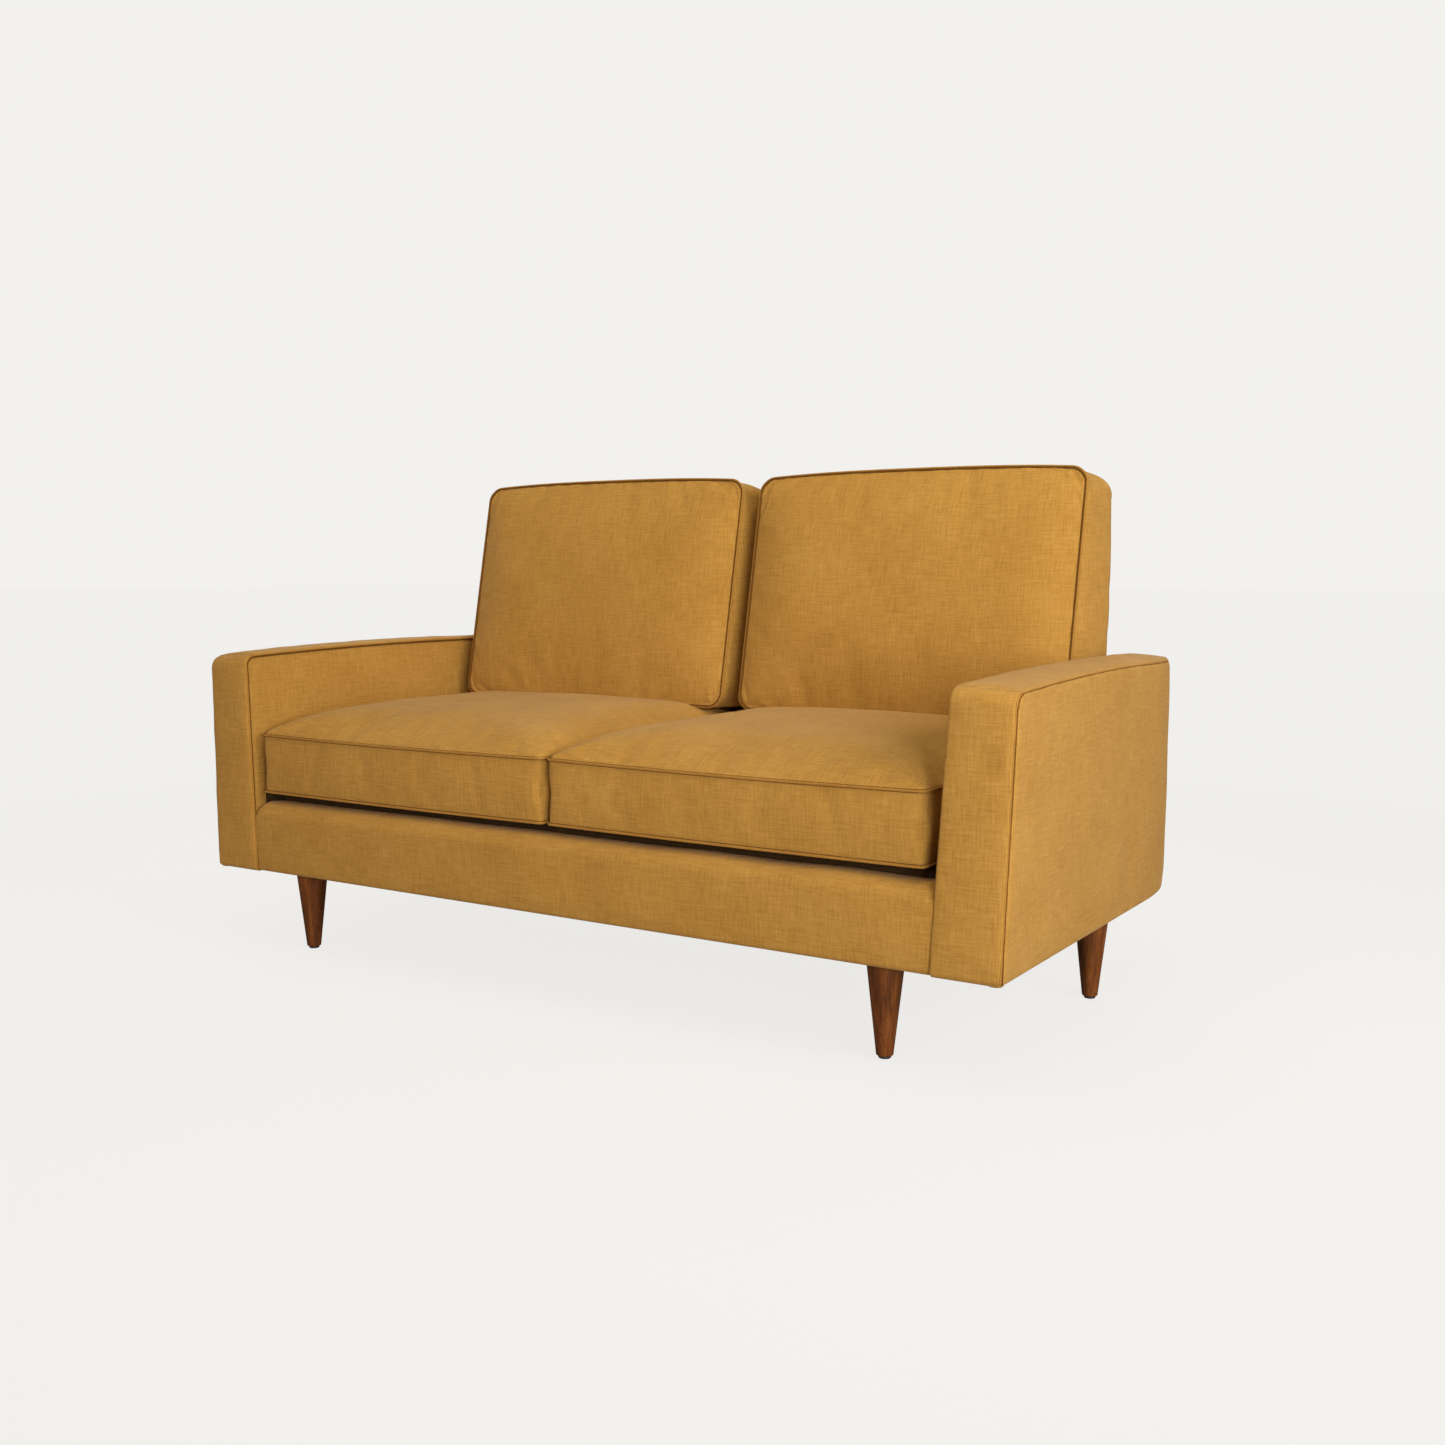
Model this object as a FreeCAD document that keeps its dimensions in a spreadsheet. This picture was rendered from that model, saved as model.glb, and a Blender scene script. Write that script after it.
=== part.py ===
import FreeCAD, Part
import math
import os
import re

import Sketcher
from FreeCAD import Placement, Rotation, Vector

# Two-seat upholstered sofa on four turned wooden legs.
# Frame: +X to the sitter's left (a viewer's right), -Y to the front, +Z up, millimetres.
# The origin is on the floor, under the middle of the whole sofa.

SIZES = [
    # body
    ("half_span", 800, "half the width over the arms, at their underside"),
    ("half_depth", 405, "from the origin to the front of the arms"),
    ("base_height", 150, "underside of the upholstered body"),
    ("arm_height", 556, "top of the arms"),
    ("arm_width", 106, "width of an arm at its underside"),
    ("arm_out_lean", 13, "how far the outer face leans out by the top"),
    ("arm_in_lean", 24, "how far the inner face leans out by the top"),
    ("arm_rear", 382, "rear face of the arms"),
    ("arm_corner", 30, "radius of an arm's rear corner"),
    ("cover_thick", 9, "padding and fabric on the arms"),
    ("arm_top_pad", 20, "padding and fabric on top of an arm"),
    # hardwood frame
    ("frame_base", 152, "underside of the base boards"),
    ("board_thick", 28, "thickness of the boards that lie flat"),
    ("board_wide", 70, "width of the boards that lie flat"),
    ("side_board_in", 712, "inner edge of the boards under the arms"),
    ("post_in", 731, "inner face of the arm posts"),
    ("post_wide", 50, "arm post, across the sofa"),
    ("post_deep", 34, "arm post, front to back"),
    ("rail_thick", 25, "thickness of the upright spring rails"),
    ("spring_rail_top", 254, "top of the spring rails"),
    ("rear_rail_front", 283, "front face of the rear spring rail"),
    ("rear_post_front", 325, "front face of the rear arm posts"),
    ("rear_board_front", 262, "front edge of the rear base board"),
    ("block_leg", 110, "short sides of a corner block"),
    ("block_thick", 32, "thickness of a corner block"),
    # front rail cover
    ("rail_setback", 4, "rail cover behind the front of the arms"),
    ("rail_top", 281, "top of the rail cover"),
    ("rail_cover_thick", 14, "padding and fabric on the front rail"),
    ("rail_cover_deep", 56, "rail cover, front to back"),
    ("rail_roll", 24, "radius of the rail cover's top front edge"),
    ("rail_clear", 0.3, "gap between the rail cover and the arms"),
    # deck
    ("spring_pitch", 130, "between neighbouring seat springs"),
    ("spring_count", 10, "seat springs in all"),
    ("spring_wire", 3.8, "diameter of the spring wire"),
    ("spring_half", 20, "half the width of a spring, over wire centres"),
    ("spring_bends", 24, "bends in one spring"),
    ("clip_long", 16, "clip length along the rail"),
    ("clip_deep", 18, "clip, front to back"),
    ("clip_high", 8, "clip height"),
    ("clip_sheet", 1.4, "clip sheet thickness"),
    ("cloth_thick", 1.5, "deck cloth and dust cover"),
    ("deck_half", 699, "half the width of the deck pad"),
    ("deck_pad_base", 264, "underside of the deck pad"),
    ("deck_top", 291.5, "top of the deck pad"),
    # raked back
    ("back_slope", 0.1, "run of the back per unit of rise"),
    ("back_foot", 295, "front face of the back at base_height"),
    ("back_deep", 46, "thickness of the padded back"),
    ("back_pad_deep", 9.5, "front pad of the back"),
    ("strap_thick", 1.2, "back webbing"),
    ("strap_wide", 50, "width of the webbing"),
    ("back_post_deep", 22, "back posts and rails, front to back"),
    ("back_post_wide", 40, "back posts, across the sofa"),
    ("back_post_out", 640, "outer face of the outer back posts"),
    ("back_cover_thick", 8, "rear panel and boxing of the back"),
    ("back_half", 650, "half the width of the back above the arms"),
    ("back_length", 643, "length of the back up its slope"),
    ("back_shoulder", 398, "length up the slope where the back narrows"),
    ("back_pad_foot", 116, "length up the slope where the front pad starts"),
    ("back_clear", 1, "gap between the back and the arms"),
    # legs
    ("leg_front_x", 603, "front legs from the middle"),
    ("leg_front_y", 356, "front legs in front of the origin"),
    ("leg_rear_x", 751, "rear legs from the middle"),
    ("leg_rear_y", 111.5, "rear legs behind the origin"),
    ("leg_top_radius", 29, "leg at its top"),
    ("leg_foot_radius", 12.7, "leg at its foot"),
    ("leg_rim", 2.5, "rounding of the leg's foot"),
    ("glide_high", 4, "glide thickness"),
    ("glide_radius", 9.5, "glide radius"),
    ("nail_radius", 1.2, "glide nail"),
    ("nail_long", 14, "glide nail above the glide"),
    ("plate_side", 62, "leg plate, square"),
    ("plate_thick", 3, "leg plate"),
    ("bolt_radius", 4, "hanger bolt"),
    ("bolt_in_leg", 32, "hanger bolt below the plate"),
    ("bolt_above", 22, "hanger bolt above the plate"),
    ("screw_radius", 2, "plate screw shank"),
    ("screw_head", 3.2, "plate screw head radius"),
    ("screw_head_high", 2, "plate screw head height"),
    ("screw_long", 20, "plate screw above the plate's underside"),
    ("screw_place", 25, "plate screws from the plate's middle, both ways"),
    ("clearance", 0.1, "radial clearance of pins and screws"),
    # seat cushions
    ("seat_front", 389.6, "front of the seat cushions, in front of the origin"),
    ("seat_rear", 304, "rear of the seat cushions"),
    ("seat_base", 292, "underside of the seat cushions"),
    ("seat_top", 440, "top of the seat cushions"),
    ("seat_crown", 34, "radius of the seat cushions' top edges"),
    ("seat_gap", 6, "half the gap between the seat cushions"),
    ("seat_width", 676.5, "width of a seat cushion"),
    # back cushions
    ("head_gap", 15, "half the gap between the back cushions"),
    ("head_width", 669, "width of a back cushion"),
    ("head_foot_y", 165.3, "front lower edge of the back cushions"),
    ("head_foot_z", 444, "underside of the back cushions"),
    ("head_top_y", 255.4, "front upper edge of the back cushions"),
    ("head_top_z", 897, "top of the back cushions"),
    ("head_drop", 13, "fall of the top towards the rear"),
    ("head_ridge", 60, "depth of the top before the rear rounding"),
    ("head_shoulder_z", 838, "where the rear rounding ends"),
    ("head_corner", 33, "corner radius in the front view"),
    ("head_clear", 1, "gap between back cushion and back"),
    ("wrap_thick", 22, "fibre wrap and fabric on the sides of a core"),
    ("wrap_top", 34, "fibre wrap and fabric over a seat core"),
    ("wrap_base", 8, "wrap and fabric under a seat core"),
]

PARTS = []  # the objects that are written out, each with the node's name as its Label

doc = FreeCAD.newDocument("Sofa")
sheet = doc.addObject("Spreadsheet::Sheet", "Sheet")
for row, (alias, number, meaning) in enumerate(SIZES, 1):
    sheet.set(f"A{row}", alias)
    sheet.set(f"B{row}", str(number))
    sheet.setAlias(f"B{row}", alias)
    sheet.set(f"C{row}", meaning)
doc.recompute()
ALIASES = {alias for alias, number, meaning in SIZES}


# ---------------------------------------------------------------- expressions

def bound(text):
    """Put the sheet's name in front of every alias in a formula."""
    return re.sub(r"[a-z_]+", lambda m: "Sheet." + m[0] if m[0] in ALIASES else m[0], str(text))


def value(text):
    """The number that a formula in sheet aliases stands for."""
    result = sheet.evalExpression(bound(text))
    return float(getattr(result, "Value", result))


def inner_face(height):
    """X of an arm's inner face at a height, as a formula."""
    rise = f"(({height}) - base_height) / (arm_height - base_height)"
    return f"(half_span - arm_width + arm_in_lean * {rise})"


def outer_face(height):
    """X of an arm's outer face at a height, as a formula."""
    return f"(half_span + arm_out_lean * (({height}) - base_height) / (arm_height - base_height))"


def back_face(height):
    """Y of the back's front face at a height, as a formula."""
    return f"(back_foot + back_slope * (({height}) - base_height))"


# -------------------------------------------------------------------- helpers

def keep(item, label):
    """Name a finished sub-part and mark it to be written."""
    item.Label = label
    PARTS.append(item)
    return item


def place(item, x, y, z):
    """Bind an object's position to the sheet."""
    for axis, text in zip("xyz", (x, y, z)):
        item.setExpression(f".Placement.Base.{axis}", bound(text))


def lean_back(item, x, depth, height):
    """Place an object in the raked back: depth into it and height up its slope."""
    tilt = math.degrees(math.atan(value("back_slope")))
    item.Placement = Placement(Vector(), Rotation(Vector(-1, 0, 0), tilt))
    item.setExpression(".Placement.Rotation.Angle", bound("atan(back_slope)"))
    run, rise = "sin(atan(back_slope))", "cos(atan(back_slope))"
    place(
        item,
        x,
        f"back_foot + ({depth}) * {rise} + ({height}) * {run}",
        f"base_height - ({depth}) * {run} + ({height}) * {rise}",
    )


def block(name, corner, size):
    """A box from its lowest corner and its size along X, Y and Z."""
    item = doc.addObject("Part::Box", name)
    for side, text in zip(("Length", "Width", "Height"), size):
        item.setExpression(side, bound(text))
    place(item, *corner)
    return item


def rod(name, radius, length, foot):
    """An upright cylinder standing on the point foot."""
    item = doc.addObject("Part::Cylinder", name)
    item.setExpression("Radius", bound(radius))
    item.setExpression("Height", bound(length))
    place(item, *foot)
    return item


def cut(name, base, tools):
    """base with every tool taken away."""
    item = doc.addObject("Part::Cut", name)
    item.Base = base
    item.Tool = group(name + "_tools", tools)
    return item


def group(name, members):
    """Several separate solids as one object."""
    item = doc.addObject("Part::Compound", name)
    item.Links = members
    return item


def origin_feature(body, role):
    return next(f for f in body.Origin.OriginFeatures if f.Role == role)


def outline(body, plane, corners, offset="0"):
    """A closed sketch of straight lines whose corners are pairs of formulas."""
    sketch = body.newObject("Sketcher::SketchObject", body.Name + "_sketch")
    sketch.AttachmentSupport = [(origin_feature(body, plane), "")]
    sketch.MapMode = "FlatFace"
    sketch.setExpression(".AttachmentOffset.Base.z", bound(offset))
    points = [Vector(value(u), value(v), 0) for u, v in corners]
    for start, end in zip(points, points[1:] + points[:1]):
        sketch.addGeometry(Part.LineSegment(start, end), False)
    for index, (u, v) in enumerate(corners):
        before = (index - 1) % len(corners)
        sketch.addConstraint(Sketcher.Constraint("Coincident", before, 2, index, 1))
        for kind, text in (("DistanceX", u), ("DistanceY", v)):
            rule = Sketcher.Constraint(kind, -1, 1, index, 1, value(text))
            name = f"{kind}_{index}"
            sketch.renameConstraint(sketch.addConstraint(rule), name)
            sketch.setExpression(f"Constraints.{name}", bound(text))
    return sketch


def new_body(name):
    return doc.addObject("PartDesign::Body", name)


def pad(body, sketch, length, side="One side"):
    """Extrude a sketch; on the XZ plane that goes towards the front."""
    feature = body.newObject("PartDesign::Pad", body.Name + "_pad")
    feature.Profile = sketch
    feature.setExpression("Length", bound(length))
    feature.SideType = side
    doc.recompute()
    return feature


def slab(name, plane, corners, length, offset="0", side="One side"):
    """A body that is one padded outline."""
    body = new_body(name)
    pad(body, outline(body, plane, corners, offset), length, side)
    return body


def round_edges(body, radius, chosen):
    """Fillet the edges of the body's last feature that chosen() picks."""
    base = body.Tip
    names = [f"Edge{n}" for n, edge in enumerate(base.Shape.Edges, 1) if chosen(edge)]
    if not names:
        raise RuntimeError(f"{body.Name}: no edge to round")
    feature = body.newObject("PartDesign::Fillet", body.Name + "_fillet")
    feature.Base = (base, names)
    feature.setExpression("Radius", bound(radius))
    doc.recompute()


def hollow(body, plane, corners, width, offset="0"):
    """A closed cavity inside a body, the outline taken both ways from its plane."""
    before = body.Shape.Volume
    feature = body.newObject("PartDesign::Pocket", body.Name + "_cavity")
    feature.Profile = outline(body, plane, corners, offset)
    feature.setExpression("Length", bound(width))
    feature.SideType = "Symmetric"
    doc.recompute()
    if body.Shape.Volume >= before:
        raise RuntimeError(f"{body.Name}: the cavity took nothing away")


def turned(name, corners):
    """A body of revolution about Z; corners are (radius, height) formulas."""
    body = new_body(name)
    feature = body.newObject("PartDesign::Revolution", name + "_turned")
    sketch = outline(body, "XZ_Plane", corners)
    feature.Profile = sketch
    feature.ReferenceAxis = (sketch, ["V_Axis"])
    feature.Angle = 360
    body.Tip = feature
    doc.recompute()
    return body


def along(edge, axis, tolerance=0.01):
    """Whether a straight edge runs along X (0), Y (1) or Z (2), leaning a little at most."""
    start, end = edge.Vertexes[0].Point, edge.Vertexes[-1].Point
    span = [abs(end[i] - start[i]) for i in range(3)]
    return span[axis] > 0 and sum(span) - span[axis] <= max(tolerance, 0.12 * span[axis])


SIDES = (("left", -1), ("right", 1))
LEGS = [
    (f"{row}_{side}", f"{sign} * leg_{row}_x", f"{'-' if row == 'front' else ''}leg_{row}_y")
    for row in ("front", "rear")
    for side, sign in SIDES
]
PLATE_TOP = "frame_base"
PLATE_BASE = "(frame_base - plate_thick)"


# ----------------------------------------------------------------------- legs

def make_legs():
    """Turned legs, their glides, plates, hanger bolts and plate screws."""
    nail_hole = "nail_radius + clearance"
    nail_end = "glide_high + nail_long"
    bolt_hole = "bolt_radius + clearance"
    bolt_foot = f"{PLATE_BASE} - bolt_in_leg"
    glides, bolts, screws = [], [], []
    for name, x, y in LEGS:
        leg = turned("leg_" + name, [
            ("0", f"{nail_end} + 1"),
            (nail_hole, f"{nail_end} + 1"),
            (nail_hole, "glide_high"),
            ("leg_foot_radius", "glide_high"),
            ("leg_top_radius", PLATE_BASE),
            (bolt_hole, PLATE_BASE),
            (bolt_hole, f"{bolt_foot} - 1"),
            ("0", f"{bolt_foot} - 1"),
        ])
        foot = value("glide_high")
        rim = value("leg_foot_radius")
        round_edges(leg, "leg_rim", lambda e: len(e.Vertexes) == 1
                    and abs(e.Vertexes[0].Z - foot) < 0.01
                    and abs(abs(e.Vertexes[0].X) - rim) < 0.01)
        place(leg, x, y, "0")
        keep(leg, "leg_" + name)

        glide = turned("glide_" + name, [
            ("0", "0"),
            ("glide_radius - 1", "0"),
            ("glide_radius", "1"),
            ("glide_radius", "glide_high"),
            ("nail_radius", "glide_high"),
            ("nail_radius", nail_end),
            ("0", nail_end),
        ])
        place(glide, x, y, "0")
        glides.append(glide)

        make_plate(name, x, y)
        length = "bolt_in_leg + plate_thick + bolt_above"
        bolts.append(rod("bolt_" + name, "bolt_radius", length, (x, y, bolt_foot)))
        for number, (dx, dy) in enumerate(screw_places()):
            at = (f"{x} + {dx}", f"{y} + {dy}")
            shank = rod(f"shank_{name}_{number}", "screw_radius", "screw_long", (*at, PLATE_BASE))
            head_foot = f"{PLATE_BASE} - screw_head_high"
            head = rod(f"head_{name}_{number}", "screw_head", "screw_head_high", (*at, head_foot))
            screw = doc.addObject("Part::Fuse", f"screw_{name}_{number}")
            screw.Base, screw.Tool = shank, head
            screws.append(screw)
    keep(group("glides", glides), "leg_glides")
    keep(group("bolts", bolts), "leg_bolts")
    keep(group("screws", screws), "plate_screws")


def screw_places():
    """Plate screws from the middle of their plate, as formulas."""
    signs = ("", "-")
    return [(f"{a}screw_place", f"{b}screw_place") for a in signs for b in signs]


def make_plate(name, x, y):
    """A square steel plate with a bolt hole and four screw holes."""
    half = "plate_side / 2"
    corners = [(f"-{half}", f"-{half}"), (half, f"-{half}"), (half, half), (f"-{half}", half)]
    body = slab("plate_" + name, "XY_Plane", corners, "plate_thick")
    full = body.Shape.Volume
    bolt = drill(body, "bolt_radius + clearance", "0", "0")
    screw = drill(body, "screw_radius + clearance", "screw_place", "screw_place")
    pattern = body.newObject("PartDesign::PolarPattern", "plate_pattern_" + name)
    pattern.Originals = [screw]
    pattern.Axis = (origin_feature(body, "Z_Axis"), [""])
    pattern.Angle = 360
    pattern.Occurrences = 4
    body.Tip = pattern
    doc.recompute()
    holes = value("(bolt_radius + clearance)^2 + 4 * (screw_radius + clearance)^2")
    expected = full - math.pi * holes * value("plate_thick")
    if abs(body.Shape.Volume - expected) > 1 or bolt.Shape.Volume >= full:
        raise RuntimeError(f"{body.Name}: the holes are wrong")
    place(body, x, y, PLATE_BASE)
    keep(body, "leg_plate_" + name)


def drill(body, radius, x, y):
    """A round hole up through a plate whose underside is on its XY plane."""
    sketch = body.newObject("Sketcher::SketchObject", body.Name + "_hole")
    sketch.AttachmentSupport = [(origin_feature(body, "XY_Plane"), "")]
    sketch.MapMode = "FlatFace"
    centre = Vector(value(x), value(y), 0)
    sketch.addGeometry(Part.Circle(centre, Vector(0, 0, 1), value(radius)), False)
    for kind, text in (("DistanceX", x), ("DistanceY", y)):
        rule = Sketcher.Constraint(kind, -1, 1, 0, 3, value(text))
        sketch.renameConstraint(sketch.addConstraint(rule), kind)
        sketch.setExpression(f"Constraints.{kind}", bound(text))
    rule = Sketcher.Constraint("Radius", 0, value(radius))
    sketch.renameConstraint(sketch.addConstraint(rule), "Radius")
    sketch.setExpression("Constraints.Radius", bound(radius))
    feature = body.newObject("PartDesign::Pocket", body.Name + "_drill")
    feature.Profile = sketch
    feature.Type = "ThroughAll"
    feature.Reversed = True
    doc.recompute()
    return feature


# ---------------------------------------------------------------- base frame

def board_holes(row):
    """Bolt and screw holes above the front or rear leg plates."""
    tools = []
    for name, x, y in LEGS:
        if not name.startswith(row):
            continue
        hole = ("bolt_radius + 1", "board_thick", (x, y, PLATE_TOP))
        tools.append((name, rod(f"bolt_hole_{name}", *hole)))
        for number, (dx, dy) in enumerate(screw_places()):
            at = (f"{x} + {dx}", f"{y} + {dy}", PLATE_TOP)
            hole = ("screw_radius + clearance", "board_thick", at)
            tools.append((name, rod(f"screw_hole_{name}_{number}", *hole)))
    return tools


def make_base():
    """Flat boards, spring rails and corner blocks: the ladder that carries all the rest."""
    front = "-half_depth + cover_thick"
    board_top = "frame_base + board_thick"
    rail_front = "-half_depth + rail_setback + rail_cover_thick"
    inside = "2 * side_board_in"

    corner = ("-side_board_in", rail_front, "frame_base")
    board = block("front_board", corner, (inside, "board_wide", "board_thick"))
    tools = [tool for name, tool in board_holes("front")]
    keep(cut("front_board_drilled", board, tools), "base_front_board")

    corner = ("-side_board_in", "rear_board_front", "frame_base")
    board = block("rear_board", corner, (inside, "board_wide", "board_thick"))
    keep(board, "base_rear_board")

    between = f"rear_board_front - ({rail_front}) - board_wide"
    corner = ("-board_wide / 2", f"{rail_front} + board_wide", "frame_base")
    board = block("centre_board", corner, ("board_wide", between, "board_thick"))
    keep(board, "base_centre_board")

    rear_holes = board_holes("rear")
    for side, sign in SIDES:
        x = "side_board_in" if sign > 0 else "-side_board_in - board_wide"
        length = f"rear_post_front + post_deep + 1 - ({front})"
        board = block(f"{side}_board", (x, front, "frame_base"), ("board_wide", length, "board_thick"))
        tools = [tool for name, tool in rear_holes if name.endswith(side)]
        keep(cut(f"{side}_board_drilled", board, tools), f"base_{side}_board")

    rail_high = f"spring_rail_top - ({board_top})"
    rail = block("front_rail", ("-post_in", rail_front, board_top), ("2 * post_in", "rail_thick", rail_high))
    keep(rail, "spring_rail_front")
    corner = ("-side_board_in", "rear_rail_front", board_top)
    keep(block("rear_rail", corner, (inside, "rail_thick", rail_high)), "spring_rail_rear")

    blocks = []
    for side, sign in SIDES:
        for row, y, way in (
            ("front", f"{rail_front} + rail_thick", 1),
            ("rear", "rear_rail_front", -1),
        ):
            x = f"{sign} * (post_in + post_wide)"
            prism = slab(f"block_{row}_{side}", "XY_Plane", [
                (x, y),
                (f"{x} - {sign} * block_leg", y),
                (x, f"{y} + {way} * block_leg"),
            ], "block_thick", board_top)
            blocks.append(prism)
    keep(group("blocks", blocks), "corner_blocks")


# ---------------------------------------------------------------- arm frames

def make_arm_frames():
    """Front post, rear post and top rail inside each arm."""
    front = "-half_depth + cover_thick"
    board_top = "frame_base + board_thick"
    rail_foot = "arm_height - arm_top_pad - board_thick"
    for side, sign in SIDES:
        x = "post_in" if sign > 0 else "-post_in - post_wide"
        post = ("post_wide", "post_deep", f"{rail_foot} - ({board_top})")
        keep(block(f"front_post_{side}", (x, front, board_top), post), f"arm_front_post_{side}")
        corner = (x, "rear_post_front", board_top)
        keep(block(f"rear_post_{side}", corner, post), f"arm_rear_post_{side}")
        length = f"rear_post_front + post_deep - ({front})"
        rail = ("post_wide", length, "board_thick")
        keep(block(f"arm_rail_{side}", (x, front, rail_foot), rail), f"arm_top_rail_{side}")


# ------------------------------------------------------------------- the deck

def make_springs():
    """Sinuous springs: straight runs across, joined by half circles on alternate sides."""
    bends = int(value("spring_bends"))
    half = value("spring_half")
    front = value("-half_depth + rail_setback + rail_cover_thick + rail_thick / 2")
    rear = value("rear_rail_front + rail_thick / 2")
    radius = (rear - front) / bends / 2
    level = value("spring_rail_top + clip_sheet + 1 + spring_wire / 2")
    profile_radius = value("spring_wire") / 2
    reach = half - radius
    count = int(value("spring_count"))
    wires = {"left": [], "right": []}
    for index in range(count):
        middle = value("spring_pitch") * (index - (count - 1) / 2)
        edges = []
        for run in range(bends + 1):
            y = front + 2 * radius * run
            turn = 1 if run % 2 == 0 else -1
            start = Vector(middle - turn * reach, y, level)
            end = Vector(middle + turn * reach, y, level)
            edges.append(Part.LineSegment(start, end).toShape())
            if run < bends:
                top = Vector(middle + turn * half, y + radius, level)
                after = Vector(end.x, y + 2 * radius, level)
                edges.append(Part.Arc(end, top, after).toShape())
        path = Part.Wire(edges)
        first = path.Edges[0].Vertexes[0].Point
        circle = Part.Circle(first, Vector(1, 0, 0), profile_radius)
        solid = path.makePipeShell([Part.Wire(circle.toShape())], True, True)
        expected = math.pi * profile_radius ** 2 * path.Length
        if abs(solid.Volume - expected) > 0.01 * expected:
            raise RuntimeError("a seat spring has the wrong volume")
        wires["left" if middle < 0 else "right"].append(solid)
    for side, solids in wires.items():
        item = doc.addObject("Part::Feature", f"springs_{side}")
        item.Shape = Part.makeCompound(solids)
        keep(item, f"seat_springs_{side}")


def make_clips():
    """C-shaped spring clips on both rails, open towards the middle of the seat."""
    body = new_body("clips")
    first = "-spring_pitch * (spring_count - 1) / 2"
    rows = (
        ("-half_depth + rail_setback + rail_cover_thick + rail_thick / 2 - clip_deep / 2", 1),
        ("rear_rail_front + rail_thick / 2 + clip_deep / 2", -1),
    )
    pads = []
    for closed_end, way in rows:
        inner_end = f"{closed_end} + {way} * clip_sheet"
        open_end = f"{closed_end} + {way} * clip_deep"
        low, high = "spring_rail_top", "spring_rail_top + clip_high"
        sketch = outline(body, "YZ_Plane", [
            (closed_end, low),
            (open_end, low),
            (open_end, f"{low} + clip_sheet"),
            (inner_end, f"{low} + clip_sheet"),
            (inner_end, f"{high} - clip_sheet"),
            (open_end, f"{high} - clip_sheet"),
            (open_end, high),
            (closed_end, high),
        ], first)
        pads.append(pad(body, sketch, "clip_long", "Symmetric"))
    pattern = body.newObject("PartDesign::LinearPattern", "clip_pattern")
    pattern.Originals = pads
    pattern.Direction = (origin_feature(body, "X_Axis"), [""])
    pattern.setExpression("Length", bound("spring_pitch * (spring_count - 1)"))
    pattern.Occurrences = int(value("spring_count"))
    body.Tip = pattern
    doc.recompute()
    if len(body.Shape.Solids) != 2 * int(value("spring_count")):
        raise RuntimeError("spring clips are missing")
    keep(body, "spring_clips")


def make_deck():
    """Cloth over the springs, the pad on it, and the dust cover underneath."""
    front = "-half_depth + rail_setback + rail_cover_thick"
    cloth_rear = "rear_rail_front + rail_thick - 4"
    size = ("2 * deck_half", f"{cloth_rear} - ({front})", "cloth_thick")
    level = "spring_rail_top + clip_high + 0.2"
    keep(block("cloth", ("-deck_half", front, level), size), "deck_cloth")

    pad_front = "-half_depth + rail_setback + rail_cover_deep + 1"
    size = ("2 * deck_half", f"{cloth_rear} - ({pad_front})", "deck_top - deck_pad_base")
    keep(block("pad", ("-deck_half", pad_front, "deck_pad_base"), size), "deck_pad")

    reach = "half_span - cover_thick - 1"
    cover_front = "-half_depth + rail_setback + rail_cover_thick + 1"
    size = (f"2 * ({reach})", f"rear_board_front + board_wide - ({cover_front})", "cloth_thick")
    sheet_item = block("dust", (f"-({reach})", cover_front, "frame_base - cloth_thick - 0.1"), size)
    windows = []
    for name, x, y in LEGS:
        half = "plate_side / 2 + 1"
        corner = (f"{x} - ({half})", f"{y} - ({half})", "base_height - 2")
        windows.append(block(f"window_{name}", corner, (f"2 * ({half})", f"2 * ({half})", "6")))
    keep(cut("dust_cut", sheet_item, windows), "dust_cover")


# ----------------------------------------------------------------- upholstery

def make_rail_cover():
    """Padded cover of the front rail: a face and a rolled top, its ends cut to the arms' lean."""
    face = "-half_depth + rail_setback"
    back = f"{face} + rail_cover_deep"
    inner = f"{face} + rail_cover_thick"
    under = "spring_rail_top + clip_high + 2"
    body = slab("rail_cover", "YZ_Plane", [
        (face, "base_height"),
        (f"{inner} - 0.2", "base_height"),
        (f"{inner} - 0.2", under),
        (back, under),
        (back, "rail_top"),
        (face, "rail_top"),
    ], f"2 * {inner_face('rail_top')}", "0", "Symmetric")
    front, top = value(face), value("rail_top")
    round_edges(body, "rail_roll", lambda e: along(e, 0)
                and abs(e.Vertexes[0].Y - front) < 0.01
                and abs(e.Vertexes[0].Z - top) < 0.01)
    foot_end = f"{inner_face('base_height')} - rail_clear"
    top_end = f"{inner_face('rail_top')} - rail_clear"
    ends = slab("rail_ends", "XZ_Plane", [
        (f"-({foot_end})", "base_height"),
        (foot_end, "base_height"),
        (top_end, "rail_top"),
        (f"-({top_end})", "rail_top"),
    ], "rail_cover_deep", f"-({back})")
    cover = doc.addObject("Part::Common", "rail_cover_cut")
    cover.Base, cover.Tool = body, ends
    keep(cover, "front_rail_cover")


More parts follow.
